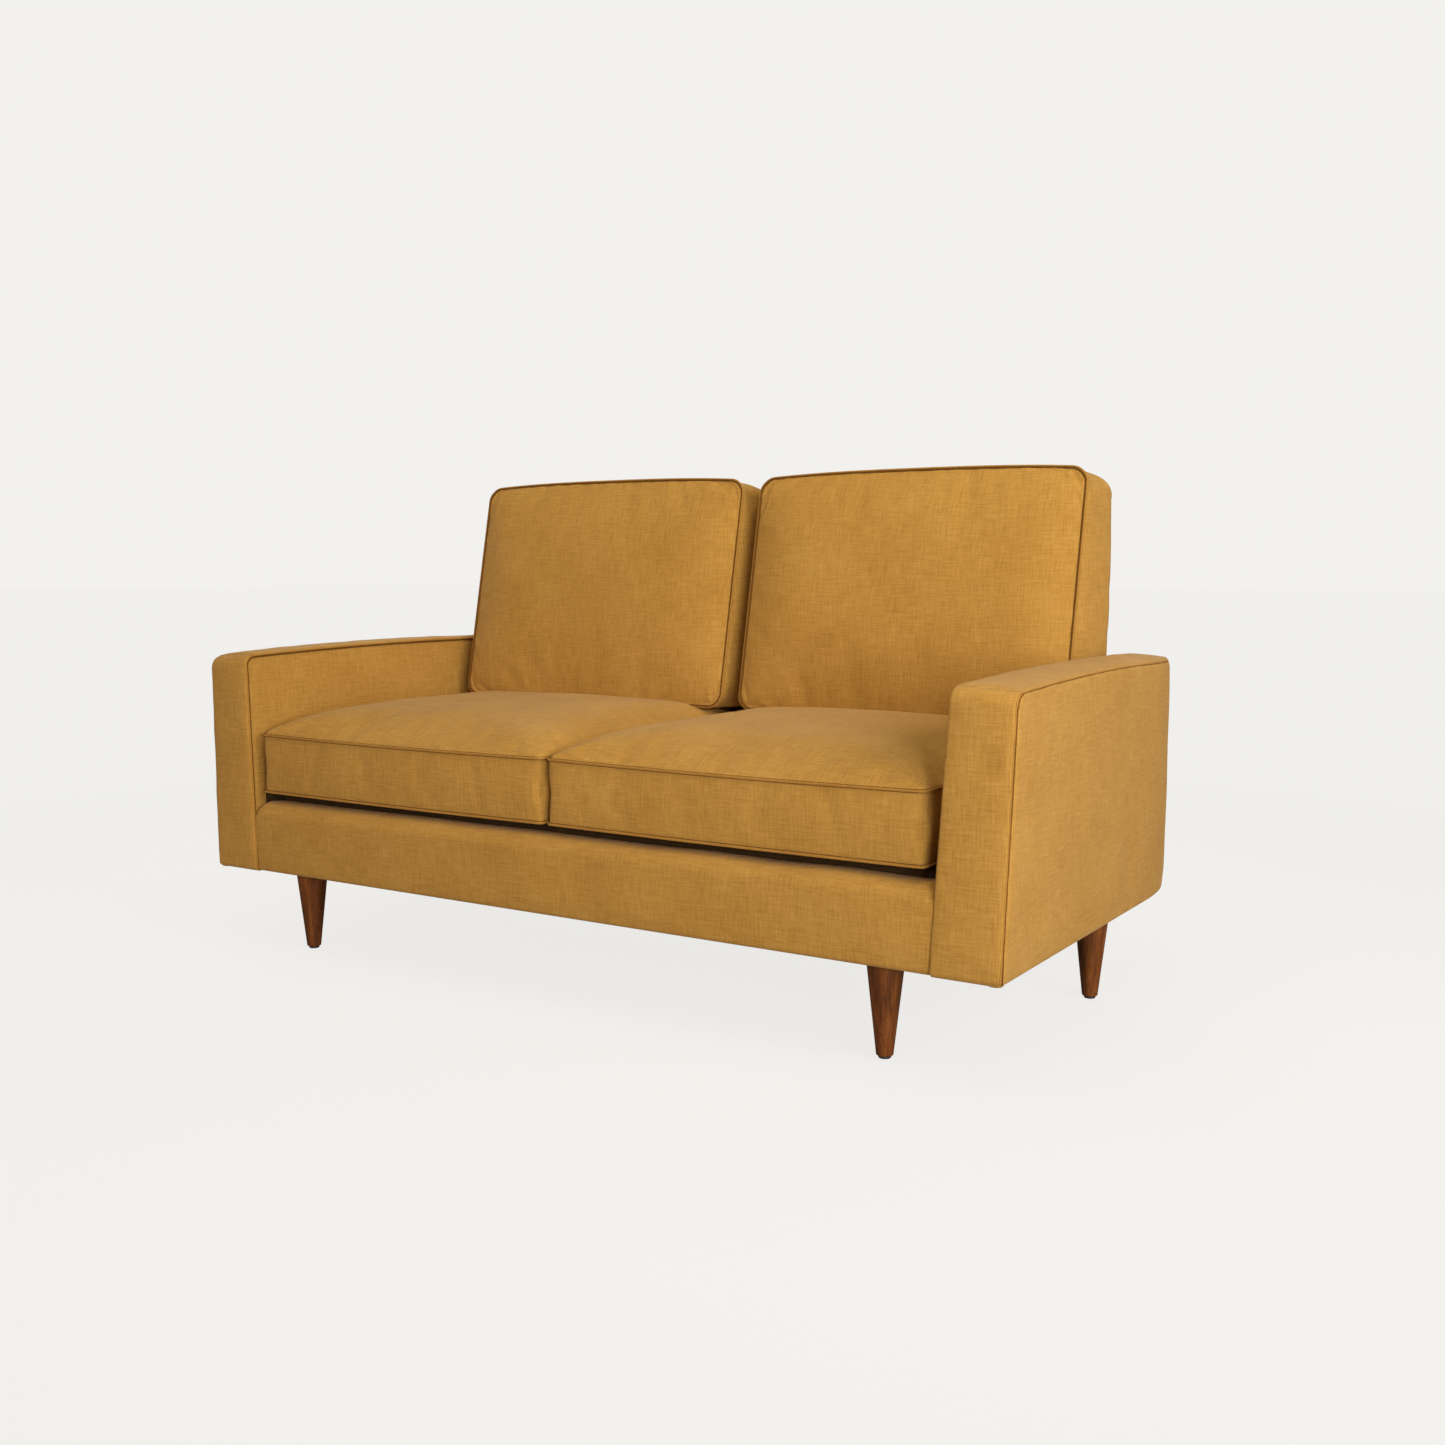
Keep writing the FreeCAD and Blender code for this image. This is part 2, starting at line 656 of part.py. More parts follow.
def make_arm_covers():
    """Front, outer, inner and top panels of both arms; the outer one wraps the rear corner."""
    front = "half_depth - cover_thick"
    top_foot = "(arm_height - arm_top_pad)"
    rear_in = "(arm_rear - cover_thick)"
    inner_foot = "(spring_rail_top + clip_high + 2)"
    length = f"{front} + arm_rear"
    for side, sign in SIDES:

        def corner(x, height):
            return f"{sign} * ({x})", height

        body = slab(f"arm_front_{side}", "XZ_Plane", [
            corner(inner_face("base_height"), "base_height"),
            corner(outer_face("base_height"), "base_height"),
            corner(outer_face("arm_height"), "arm_height"),
            corner(inner_face("arm_height"), "arm_height"),
        ], "cover_thick", front)
        keep(body, f"arm_front_panel_{side}")

        body = slab(f"arm_outer_{side}", "XZ_Plane", [
            corner(f"{outer_face('base_height')} - cover_thick", "base_height"),
            corner(outer_face("base_height"), "base_height"),
            corner(outer_face(top_foot), top_foot),
            corner(f"{outer_face(top_foot)} - cover_thick", top_foot),
        ], length, "-arm_rear")
        sketch = outline(body, "XZ_Plane", [
            corner(inner_face("base_height"), "base_height"),
            corner(outer_face("base_height"), "base_height"),
            corner(outer_face(top_foot), top_foot),
            corner(inner_face(top_foot), top_foot),
        ], "-arm_rear")
        pad(body, sketch, "cover_thick")
        rear, wall = value("arm_rear"), value("cover_thick")
        reach = value("half_span") - 2
        round_edges(body, "arm_corner", lambda e: along(e, 2)
                    and abs(e.Vertexes[0].Y - rear) < 0.01
                    and min(abs(v.X) for v in e.Vertexes) > reach)
        round_edges(body, "arm_corner - cover_thick", lambda e: along(e, 2)
                    and abs(e.Vertexes[0].Y - (rear - wall)) < 0.01
                    and min(abs(v.X) for v in e.Vertexes) > reach - wall - 2)
        keep(body, f"arm_outer_panel_{side}")

        body = slab(f"arm_inner_{side}", "XZ_Plane", [
            corner(inner_face(inner_foot), inner_foot),
            corner(f"{inner_face(inner_foot)} + cover_thick", inner_foot),
            corner(f"{inner_face(top_foot)} + cover_thick", top_foot),
            corner(inner_face(top_foot), top_foot),
        ], f"{front} + {rear_in}", f"-{rear_in}")
        keep(body, f"arm_inner_panel_{side}")

        body = slab(f"arm_top_{side}", "XZ_Plane", [
            corner(inner_face(top_foot), top_foot),
            corner(outer_face(top_foot), top_foot),
            corner(outer_face("arm_height"), "arm_height"),
            corner(inner_face("arm_height"), "arm_height"),
        ], length, "-arm_rear")
        keep(body, f"arm_top_panel_{side}")


# ------------------------------------------------------------------- the back

def back_side(length):
    """X of the back's edge beside the arms, some length up the slope, as a formula."""
    return f"{inner_face(f'base_height + ({length})')} - back_clear"


def back_outline(foot):
    """The back seen square on: as wide as the seat up to the arms, narrower above them."""
    right = [(back_side(foot), foot), (back_side("back_shoulder"), "back_shoulder")]
    right += [("back_half", "back_shoulder"), ("back_half", "back_length")]
    left = [(f"-({x})", y) for x, y in reversed(right)]
    return right + left


def back_body(name, corners, front, rear):
    """An outline in the raked back, from one depth to another."""
    body = slab(name, "XZ_Plane", corners, f"{rear} - ({front})", f"-({rear})")
    lean_back(body, "0", "0", "0")
    return body


def back_block(name, x, depth, foot, size):
    """A box in the raked back: size is its width, depth and length up the slope."""
    item = block(name, ("0", "0", "0"), size)
    lean_back(item, x, depth, foot)
    return item


def make_back_frame():
    """Three raked posts, a top rail, lower rails between the posts, and the webbing."""
    front = "back_pad_deep + 2 * strap_thick + 0.1"
    foot = "(frame_base + board_thick - base_height + 0.2 + (back_pad_deep + 26) * back_slope)"
    rail_foot = "(back_length - back_cover_thick - back_post_wide)"
    post = ("back_post_wide", "back_post_deep", f"{rail_foot} - {foot}")
    posts = (
        ("left", "-back_post_out"),
        ("centre", "-back_post_wide / 2"),
        ("right", "back_post_out - back_post_wide"),
    )
    for name, x in posts:
        keep(back_block(f"post_{name}", x, front, foot, post), f"back_post_{name}")
    size = ("2 * back_post_out", "back_post_deep", "back_post_wide")
    keep(back_block("top_rail", "-back_post_out", front, rail_foot, size), "back_top_rail")

    rails = []
    bay = "back_post_out - 1.5 * back_post_wide"
    size = (bay, "back_post_deep", "back_post_wide")
    for name, x in (("left", "-back_post_out + back_post_wide"), ("right", "back_post_wide / 2")):
        rails.append(back_block(f"lower_rail_{name}", x, front, "back_pad_foot", size))
    keep(group("lower_rails", rails), "back_lower_rails")

    straps = []
    width = "2 * back_post_out"
    rows, columns = 3, 4
    span = f"({rail_foot} - back_pad_foot - back_post_wide)"
    for row in range(rows):
        at = f"back_pad_foot + back_post_wide + {span} * {row + 1} / {rows + 1} - strap_wide / 2"
        size = (width, "strap_thick", "strap_wide")
        straps.append(back_block(f"strap_row_{row}", "-back_post_out", "back_pad_deep", at, size))
    depth = "back_pad_deep + strap_thick + 0.05"
    length = f"{span} + 1.6 * back_post_wide"
    for column in range(columns):
        x = f"{width} * {2 * column + 1 - columns} / {2 * columns + 1} - strap_wide / 2"
        at = "back_pad_foot + 0.2 * back_post_wide"
        size = ("strap_wide", "strap_thick", length)
        straps.append(back_block(f"strap_column_{column}", x, depth, at, size))
    keep(group("straps", straps), "back_webbing")


def make_back_cover():
    """Front pad, rear panel, and boxing along the top and the upper sides."""
    body = back_body("back_pad", back_outline("back_pad_foot"), "0", "back_pad_deep")
    keep(body, "back_front_pad")
    rear = "back_deep - back_cover_thick"
    foot = "back_deep * back_slope"
    keep(back_body("back_rear", back_outline(foot), rear, "back_deep"), "back_rear_panel")

    inner_top = "(back_length - back_cover_thick)"
    size = ("2 * back_half", f"{rear} - back_pad_deep", "back_cover_thick")
    item = back_block("back_top", "-back_half", "back_pad_deep", inner_top, size)
    keep(item, "back_top_boxing")
    lower = "back_shoulder - back_cover_thick"
    for side, sign in SIDES:
        inside = "back_half - back_cover_thick"
        corners = [
            (inside, lower),
            (back_side(lower), lower),
            (back_side("back_shoulder"), "back_shoulder"),
            ("back_half", "back_shoulder"),
            ("back_half", inner_top),
            (inside, inner_top),
        ]
        corners = [(f"{sign} * ({x})", y) for x, y in corners]
        body = back_body(f"back_side_{side}", corners, "back_pad_deep", rear)
        keep(body, f"back_side_boxing_{side}")


# ------------------------------------------------------------- loose cushions

def make_seat_cushions():
    """Box cushions with a crowned top: a sewn cover with its fibre wrap, and a foam core."""
    depth = ("-seat_front", "seat_rear")
    core = [
        (f"{depth[0]} + wrap_thick", "seat_base + wrap_base"),
        (f"{depth[1]} - wrap_thick", "seat_base + wrap_base"),
        (f"{depth[1]} - wrap_thick", "seat_top - wrap_top"),
        (f"{depth[0]} + wrap_thick", "seat_top - wrap_top"),
    ]
    core_width = "seat_width - 2 * wrap_thick"
    top = value("seat_top")
    for side, sign in SIDES:
        middle = f"{sign} * (seat_gap + seat_width / 2)"
        body = slab(f"seat_cover_{side}", "YZ_Plane", [
            (depth[0], "seat_base"),
            (depth[1], "seat_base"),
            (depth[1], "seat_top"),
            (depth[0], "seat_top"),
        ], "seat_width", "0", "Symmetric")
        round_edges(body, "seat_crown", lambda e: all(abs(v.Z - top) < 0.01 for v in e.Vertexes))
        hollow(body, "YZ_Plane", core, core_width)
        place(body, middle, "0", "0")
        keep(body, f"seat_cushion_cover_{side}")
        body = slab(f"seat_foam_{side}", "YZ_Plane", core, core_width, "0", "Symmetric")
        place(body, middle, "0", "0")
        keep(body, f"seat_cushion_foam_{side}")


def make_back_cushions():
    """Wedge cushions, thicker at the foot, that lean on the back: cover and foam core."""
    rear_foot = f"{back_face('head_foot_z')} - head_clear"
    rear_shoulder = f"{back_face('head_shoulder_z')} - head_clear"
    ridge = ("head_top_y + head_ridge", "head_top_z - head_drop")
    wedge = [
        ("head_foot_y", "head_foot_z"),
        (rear_foot, "head_foot_z"),
        (rear_shoulder, "head_shoulder_z"),
        ridge,
        ("head_top_y", "head_top_z"),
    ]
    core = [
        ("head_foot_y + 1.2 * wrap_thick", "head_foot_z + wrap_thick"),
        (f"{rear_foot} - wrap_thick", "head_foot_z + wrap_thick"),
        (f"{rear_shoulder} - 1.5 * wrap_thick", "head_shoulder_z - wrap_thick"),
        ("head_top_y + wrap_thick", "head_shoulder_z + 0.5 * wrap_thick"),
    ]
    core_width = "head_width - 2 * wrap_thick"
    half = value("head_width") / 2
    for side, sign in SIDES:
        middle = f"{sign} * (head_gap + head_width / 2)"
        body = slab(f"head_cover_{side}", "YZ_Plane", wedge, "head_width", "0", "Symmetric")
        foot, head = value("head_foot_z"), value(ridge[1])

        def on_corner(edge):
            """Edges between the side faces and the top or the underside."""
            points = [v.Point for v in edge.Vertexes]
            on_side = all(abs(abs(p.x) - half) < 0.01 for p in points)
            low = all(abs(p.z - foot) < 0.01 for p in points)
            high = all(p.z > head - 0.01 for p in points)
            return on_side and (low or high)

        round_edges(body, "head_corner", on_corner)
        hollow(body, "YZ_Plane", core, core_width)
        place(body, middle, "0", "0")
        keep(body, f"back_cushion_cover_{side}")
        body = slab(f"head_foam_{side}", "YZ_Plane", core, core_width, "0", "Symmetric")
        place(body, middle, "0", "0")
        keep(body, f"back_cushion_foam_{side}")


# --------------------------------------------------------------------- export

def check_and_write():
    """Refuse anything failed or invalid, then write one STEP file for each sub-part."""
    doc.recompute()
    for item in doc.Objects:
        bad = [state for state in item.State if state in ("Invalid", "Error")]
        if bad:
            raise RuntimeError(f"{item.Name} is {bad}")
    os.makedirs("parts", exist_ok=True)
    whole = FreeCAD.BoundBox()
    for item in PARTS:
        shape = item.Shape
        if shape.isNull() or not shape.isValid() or not shape.Solids or shape.Volume <= 0:
            raise RuntimeError(f"{item.Label} has no valid solid")
        whole.add(shape.BoundBox)
        shape.exportStep(f"parts/{item.Label}.step")
    print(f"{len(PARTS)} sub-parts")
    print("X", round(whole.XMin, 2), round(whole.XMax, 2))
    print("Y", round(whole.YMin, 2), round(whole.YMax, 2))
    print("Z", round(whole.ZMin, 2), round(whole.ZMax, 2))


make_legs()
make_base()
make_arm_frames()
make_springs()
make_clips()
make_deck()
make_rail_cover()
make_arm_covers()
make_back_frame()
make_back_cover()
make_seat_cushions()
make_back_cushions()
check_and_write()
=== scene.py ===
import math

import bpy
import numpy as np
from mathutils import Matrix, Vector


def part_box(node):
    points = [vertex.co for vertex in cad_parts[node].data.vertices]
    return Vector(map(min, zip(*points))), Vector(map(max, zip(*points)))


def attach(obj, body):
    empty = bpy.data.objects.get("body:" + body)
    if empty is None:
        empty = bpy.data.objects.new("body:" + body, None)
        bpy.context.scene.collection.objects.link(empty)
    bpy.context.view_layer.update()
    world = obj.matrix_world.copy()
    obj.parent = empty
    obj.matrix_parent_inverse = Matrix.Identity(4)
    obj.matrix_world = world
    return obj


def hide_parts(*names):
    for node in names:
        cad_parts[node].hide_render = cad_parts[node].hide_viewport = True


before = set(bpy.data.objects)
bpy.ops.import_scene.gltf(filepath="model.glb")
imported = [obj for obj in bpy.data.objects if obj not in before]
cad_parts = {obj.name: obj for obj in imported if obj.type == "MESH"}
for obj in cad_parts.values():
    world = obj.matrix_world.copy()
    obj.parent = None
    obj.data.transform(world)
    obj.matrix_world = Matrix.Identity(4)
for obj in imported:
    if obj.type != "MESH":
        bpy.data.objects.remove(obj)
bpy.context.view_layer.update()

# A two-seat sofa: fabric over padding on a hardwood frame, four loose cushions, four turned legs.
# Metres, in the frame of the CAD model: +X right, -Y to the front, +Z up, floor at 0.

MM = 0.001
SIDES = (("left", -1), ("right", 1))

# ---------------------------------------------------------------- landmarks from the frame

ARM_LOW, ARM_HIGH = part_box("arm_front_panel_right")
ARM_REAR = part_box("arm_outer_panel_right")[1].y
FRONT, BASE, ARM_TOP = ARM_LOW.y, ARM_LOW.z, ARM_HIGH.z
IN_LEAN = 24 * MM      # an arm's inner face leans out this much by the top
OUT_LEAN = 13 * MM     # and its outer face this much
FRONT_RAKE = 8 * MM    # the arm's front leans back this much
REAR_RAKE = 8 * MM     # and its rear leans forward this much
ARM_EDGE = 17 * MM     # radius where an arm's front turns into its top
CORNER_FOOT = (26 * MM, 130 * MM)   # an arm's outer rear corner at its foot, across and along
CORNER_HEAD = (44 * MM, 170 * MM)   # and at its top
INNER_CORNER = 12 * MM
INNER_TRIM = 4 * MM    # the soft arm is this much slimmer than its frame on the inside
UNDER_ROLL = 5 * MM    # radius where the fabric turns under the body
OUTER_CROWN = 700 * MM   # length along which the outer face is crowned
FRONT_TURN = math.radians(82)   # how far an arm's front strip goes round the turn into the top
PANEL_SHELL = 5 * MM   # fabric and wadding of a fixed panel
WELT = 2.3 * MM        # radius of a self-welt

RAIL_LOW, RAIL_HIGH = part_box("front_rail_cover")
DECK_LOW, DECK_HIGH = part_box("deck_pad")
BACK_SLOPE = 0.1       # run of the raked back for each unit of rise


def inner_x(z):
    """X of the right arm's inner face at a height."""
    return ARM_LOW.x + INNER_TRIM + IN_LEAN * (z - BASE) / (ARM_TOP - BASE)


def outer_x(z):
    """X of the right arm's outer face at a height."""
    return ARM_HIGH.x - OUT_LEAN * (ARM_TOP - z) / (ARM_TOP - BASE)


def front_y(z):
    """Y of an arm's front at a height."""
    return FRONT + FRONT_RAKE * (z - BASE) / (ARM_TOP - BASE)


def rear_y(z):
    """Y of an arm's rear at a height."""
    return ARM_REAR - REAR_RAKE * (z - BASE) / (ARM_TOP - BASE)


def arm_top_z(x, y):
    """Height of an arm's top seams: highest two thirds back, and lower on the outside."""
    outer = ARM_TOP + 1 * MM - 12 * MM * ((y - 60 * MM) / (450 * MM)) ** 2
    inner = ARM_TOP + 6 * MM - 12 * MM * ((y - 120 * MM) / (515 * MM)) ** 2
    across = (x - inner_x(ARM_TOP)) / (outer_x(ARM_TOP) - inner_x(ARM_TOP))
    return inner + (outer - inner) * np.clip(across, 0, 1)


def back_y(z):
    """Y of the front face of the raked back at a height."""
    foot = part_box("back_front_pad")[0]
    return foot.y + BACK_SLOPE * (z - foot.z)


# --------------------------------------------------------------------------- mesh helpers

def mesh_object(name, points, faces):
    """A smooth-shaded object of the scene from points and faces."""
    mesh = bpy.data.meshes.new(name)
    mesh.from_pydata(np.asarray(points, float).reshape(-1, 3).tolist(), [], faces)
    obj = bpy.data.objects.new(name, mesh)
    bpy.context.scene.collection.objects.link(obj)
    smooth(obj)
    return obj


def grid(x, y, z):
    """Points of a grid from coordinates that broadcast to its rows and columns."""
    return np.stack(np.broadcast_arrays(x, y, z), axis=-1)


def thicken(obj, thickness, offset=-1):
    """Turn an open sheet of faces into a closed one."""
    solid = obj.modifiers.new("thick", "SOLIDIFY")
    solid.thickness, solid.offset = thickness, offset
    apply_modifiers(obj)


def panel(name, points, replaced, side=1, flip=True, thickness=PANEL_SHELL):
    """Fabric of the fixed body that follows a grid of points; side -1 mirrors it."""
    points = points * (side, 1, 1)
    obj = mesh_object(name, points, grid_faces(*points.shape[:2], flip=flip))
    thicken(obj, thickness)
    return finish_piece(obj, "sofa", FABRIC, replaced)


def unit(vectors):
    """Rows of vectors brought to length 1."""
    return vectors / np.linalg.norm(vectors, axis=1, keepdims=True)


def run_along(path):
    """Distance of each point of a line from its first one."""
    return np.concatenate([[0], np.cumsum(np.linalg.norm(np.diff(path, axis=0), axis=1))])


def smooth(obj):
    """Shade every face smoothly."""
    obj.data.polygons.foreach_set("use_smooth", [True] * len(obj.data.polygons))


def grid_faces(rows, columns, wrap=False, flip=False):
    """Quads between neighbouring points of a grid; wrap joins the last column to the first."""
    index = np.arange(rows * columns).reshape(rows, columns)
    if wrap:
        index = np.hstack([index, index[:, :1]])
    corners = [index[:-1, :-1], index[:-1, 1:], index[1:, 1:], index[1:, :-1]]
    if flip:
        corners.reverse()
    return np.stack(corners, axis=-1).reshape(-1, 4).tolist()


def apply_modifiers(obj):
    """Replace the mesh by what its modifiers make of it."""
    mesh = bpy.data.meshes.new_from_object(obj.evaluated_get(bpy.context.evaluated_depsgraph_get()))
    old = obj.data
    obj.modifiers.clear()
    obj.data = mesh
    bpy.data.meshes.remove(old)
    smooth(obj)


def coordinates(obj):
    """Points of a mesh object, one row each."""
    flat = np.zeros(len(obj.data.vertices) * 3)
    obj.data.vertices.foreach_get("co", flat)
    return flat.reshape(-1, 3)


def set_coordinates(obj, points):
    """Move the points of a mesh object."""
    obj.data.vertices.foreach_set("co", np.asarray(points, float).ravel())
    obj.data.update()


def graded(length, count, crowding=0.6):
    """Distances from 0 to length, closer together at both ends."""
    t = np.linspace(0, 1, count)
    return length * (t - crowding * np.sin(2 * math.pi * t) / (2 * math.pi))


def waves(x, wavelength, seed, terms=6):
    """A smooth irregular ripple of about unit size along x."""
    rng = np.random.default_rng(seed)
    total = np.zeros_like(x, dtype=float)
    for stretch, phase in zip(rng.uniform(0.6, 1.8, terms), rng.uniform(0, 2 * math.pi, terms)):
        total += np.sin(2 * math.pi * x / (wavelength * stretch) + phase)
    return total / math.sqrt(terms)


def swell(a, b, wavelength, seed, terms=7):
    """A smooth irregular height of about unit size over the plane a, b."""
    rng = np.random.default_rng(seed)
    total = np.zeros(np.broadcast(a, b).shape)
    for turn in rng.uniform(0, math.pi, terms):
        stretch, phase = rng.uniform(0.6, 1.7), rng.uniform(0, 2 * math.pi)
        along = a * math.cos(turn) + b * math.sin(turn)
        total += np.sin(2 * math.pi * along / (wavelength * stretch) + phase)
    return total / math.sqrt(terms)


def round_corner(from_side, from_end, radius):
    """Two distances from the edges at a square corner, bent to a round one."""
    p = np.clip((radius - from_side) / radius, 0, 1)
    q = np.clip((radius - from_end) / radius, 0, 1)
    inside = (from_side < radius) & (from_end < radius)
    side = np.where(inside, radius - radius * p * np.sqrt(1 - q * q / 2), from_side)
    end = np.where(inside, radius - radius * q * np.sqrt(1 - p * p / 2), from_end)
    return side, end


def normals_of(points):
    """Unit normals of a grid of points."""
    normal = np.cross(np.gradient(points, axis=1), np.gradient(points, axis=0))
    return normal / np.maximum(np.linalg.norm(normal, axis=-1, keepdims=True), 1e-9)


def outward(points, toward, at=None):
    """Normals of a grid, all turned so that the one at row, column at points the way toward does."""
    normal = normals_of(points)
    row, column = at or (points.shape[0] // 2, points.shape[1] // 2)
    return normal * math.copysign(1.0, float(np.dot(normal[row, column], toward)))


def seam_dip(distance, reach=5 * MM):
    """0 on a seam, rising to 1 within a few millimetres of it."""
    return 1 - np.exp(-distance / reach)


def puckers(edges, wavelength, reach, seed):
    """Ripples square to each seam that die out away from it.
    edges holds pairs: the distance from a seam, and the place along it."""
    total = 0.0
    for number, (distance, along) in enumerate(edges):
        total = total + np.exp(-distance / reach) * waves(along, wavelength, seed + number)
    return total


def tube(path, radius, closed=False, sides=8, seed=0):
    """Points and faces of a round, slightly uneven tube along a line of points."""
    path = np.asarray(path, float)
    if closed:
        tangent = unit(np.roll(path, -1, axis=0) - np.roll(path, 1, axis=0))
    else:
        tangent = unit(np.gradient(path, axis=0))
    side = np.zeros_like(path)
    first = np.cross(tangent[0], (0.31, 0.17, 0.93))   # any direction that no seam runs in
    for k in range(len(path)):
        first = first - tangent[k] * np.dot(first, tangent[k])
        first /= np.linalg.norm(first)
        side[k] = first
    up = np.cross(tangent, side)
    thick = radius * (1 + 0.05 * waves(run_along(path), 9 * MM, seed))
    angle = np.linspace(0, 2 * math.pi, sides, endpoint=False)[None, :] + np.zeros((len(path), 1))
    if closed:
        # the frame comes back turned by some angle: spread it over the loop
        last = side[-1] - tangent[0] * np.dot(side[-1], tangent[0])
        twist = math.atan2(np.dot(last, up[0]), np.dot(last, side[0]))
        angle -= twist * np.arange(len(path))[:, None] / len(path)
    ring = np.cos(angle)[..., None] * side[:, None, :] + np.sin(angle)[..., None] * up[:, None, :]
    points = path[:, None, :] + thick[:, None, None] * ring
    if closed:
        faces = [[i % (len(path) * sides) for i in face] for face in grid_faces(len(path) + 1, sides, True)]
    else:
        faces = grid_faces(len(path), sides, True)
        faces.append(list(range(sides))[::-1])
        faces.append(list(range((len(path) - 1) * sides, len(path) * sides)))
    return points.reshape(-1, 3), faces


def welt(name, body, path, away, under=1.25, lean=(0, 0, 0), closed=False, seed=0):
    """A self-welt along a seam, in a darker copy of the fabric as painted shade, and under it a near-black tube
    that shows at its sides as painted shadow of the seam groove. away holds unit vectors out of the seam.
    The dark tube is under times as thick as the welt, and lean moves it towards one of the seam's two sides."""
    points, faces = tube(path + 0.85 * WELT * away, WELT, closed, seed=seed)
    # the under tube is painted shadow of the seam's groove
    under_points, under_faces = tube(path + 0.1 * WELT * away + lean, under * WELT, closed, seed=seed)
    split = len(faces)
    faces = faces + [[i + len(points) for i in face] for face in under_faces]
    obj = mesh_object(name, np.concatenate([points, under_points]), faces)
    finish_piece(obj, body, WELT_FABRIC_PAINTED_SHADE)
    obj.data.materials.append(SEAM_PAINTED_SHADE)
    obj.data.polygons.foreach_set("material_index", [int(k >= split) for k in range(len(faces))])
    return obj


def finish_piece(obj, body, material, replaced=()):
    """Give a piece its material, hang it on its body's empty, and hide the nodes it stands for."""
    obj.data.materials.clear()
    obj.data.materials.append(material)
    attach(obj, body)
    if replaced:
        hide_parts(*replaced)
    return obj


# ------------------------------------------------------------------------------ materials

class Signal:
    """An output of a graph's node that takes +, - and * like a number."""

    def __init__(self, graph, socket):
        self.graph, self.socket = graph, socket

    def __add__(self, other):
        return self.graph.math("ADD", self, other)

    def __sub__(self, other):
        return self.graph.math("SUBTRACT", self, other)

    def __rsub__(self, other):
        return self.graph.math("SUBTRACT", other, self)

    def __mul__(self, other):
        return self.graph.math("MULTIPLY", self, other)


class Graph:
    """A material's node tree with short ways to add to it."""

    def __init__(self, name):
        self.material = bpy.data.materials.new(name)
        self.material.use_nodes = True
        self.tree = self.material.node_tree
        self.shader = self.tree.nodes["Principled BSDF"]

    def node(self, kind, **settings):
        made = self.tree.nodes.new("ShaderNode" + kind)
        for key, value in settings.items():
            setattr(made, key, value)
        return made

    def put(self, socket, value):
        if isinstance(value, Signal):
            self.tree.links.new(value.socket, socket)
        else:
            socket.default_value = value

    def fill(self, made, inputs, output=0):
        """Set or link a node's inputs, named or numbered, and return one of its outputs."""
        for key, value in inputs.items():
            self.put(made.inputs[key], value)
        return Signal(self, made.outputs[output])

    def math(self, operation, *values):
        return self.fill(self.node("Math", operation=operation), dict(enumerate(values)))

    def vector(self, x, y, z):
        return self.fill(self.node("CombineXYZ"), {0: x, 1: y, 2: z})

    def place(self, output="Object"):
        """Object coordinates, or another output of the coordinate node."""
        return Signal(self, self.node("TexCoord").outputs[output])

    def split(self, vector):
        made = self.node("SeparateXYZ")
        self.put(made.inputs[0], vector)
        return [Signal(self, output) for output in made.outputs]

    def noise(self, vector, scale, detail=2.0, roughness=0.5):
        made = self.node("TexNoise")
        return self.fill(made, {"Vector": vector, "Scale": scale, "Detail": detail, "Roughness": roughness}, "Fac")

    def cells(self, vector, scale):
        """Distance to the nearest of scattered points."""
        return self.fill(self.node("TexVoronoi"), {"Vector": vector, "Scale": scale}, "Distance")

    def span(self, value, low, high, new_low, new_high):
        """value taken from one range to another and kept inside it."""
        return self.fill(self.node("MapRange"), dict(enumerate((value, low, high, new_low, new_high))))

    def mix(self, factor, first, second, blend="MIX"):
        made = self.node("Mix", data_type="RGBA", blend_type=blend)
        return self.fill(made, {0: factor, 6: first, 7: second}, 2)

    def ramp(self, value, *stops):
        made = self.node("ValToRGB")
        elements = made.color_ramp.elements
        while len(elements) < len(stops):
            elements.new(0.5)
        for element, (place, colour) in zip(elements, stops):
            element.position = place
            element.color = (*colour, 1)
        return self.fill(made, {0: value})

    def bump(self, height, distance, strength):
        return self.fill(self.node("Bump"), {"Strength": strength, "Distance": distance, "Height": height})

    def set(self, **values):
        """Uniform values and linked sockets of the shader, with _ for a space in their names."""
        for key, value in values.items():
            self.put(self.shader.inputs[key.replace("_", " ")], value)
        return self.material

    def flat_coordinates(self):
        """Object coordinates in the plane that the surface faces, as two signals."""
        x, y, z = self.split(self.place())
        ax, ay, az = (self.math("ABSOLUTE", part) for part in self.split(self.place("Normal")))
        upward = self.math("GREATER_THAN", az, self.math("MAXIMUM", ax, ay))
        sideways = self.math("GREATER_THAN", ax, ay) * (1.0 - upward)
        return x + (y - x) * sideways, z + (y - z) * upward


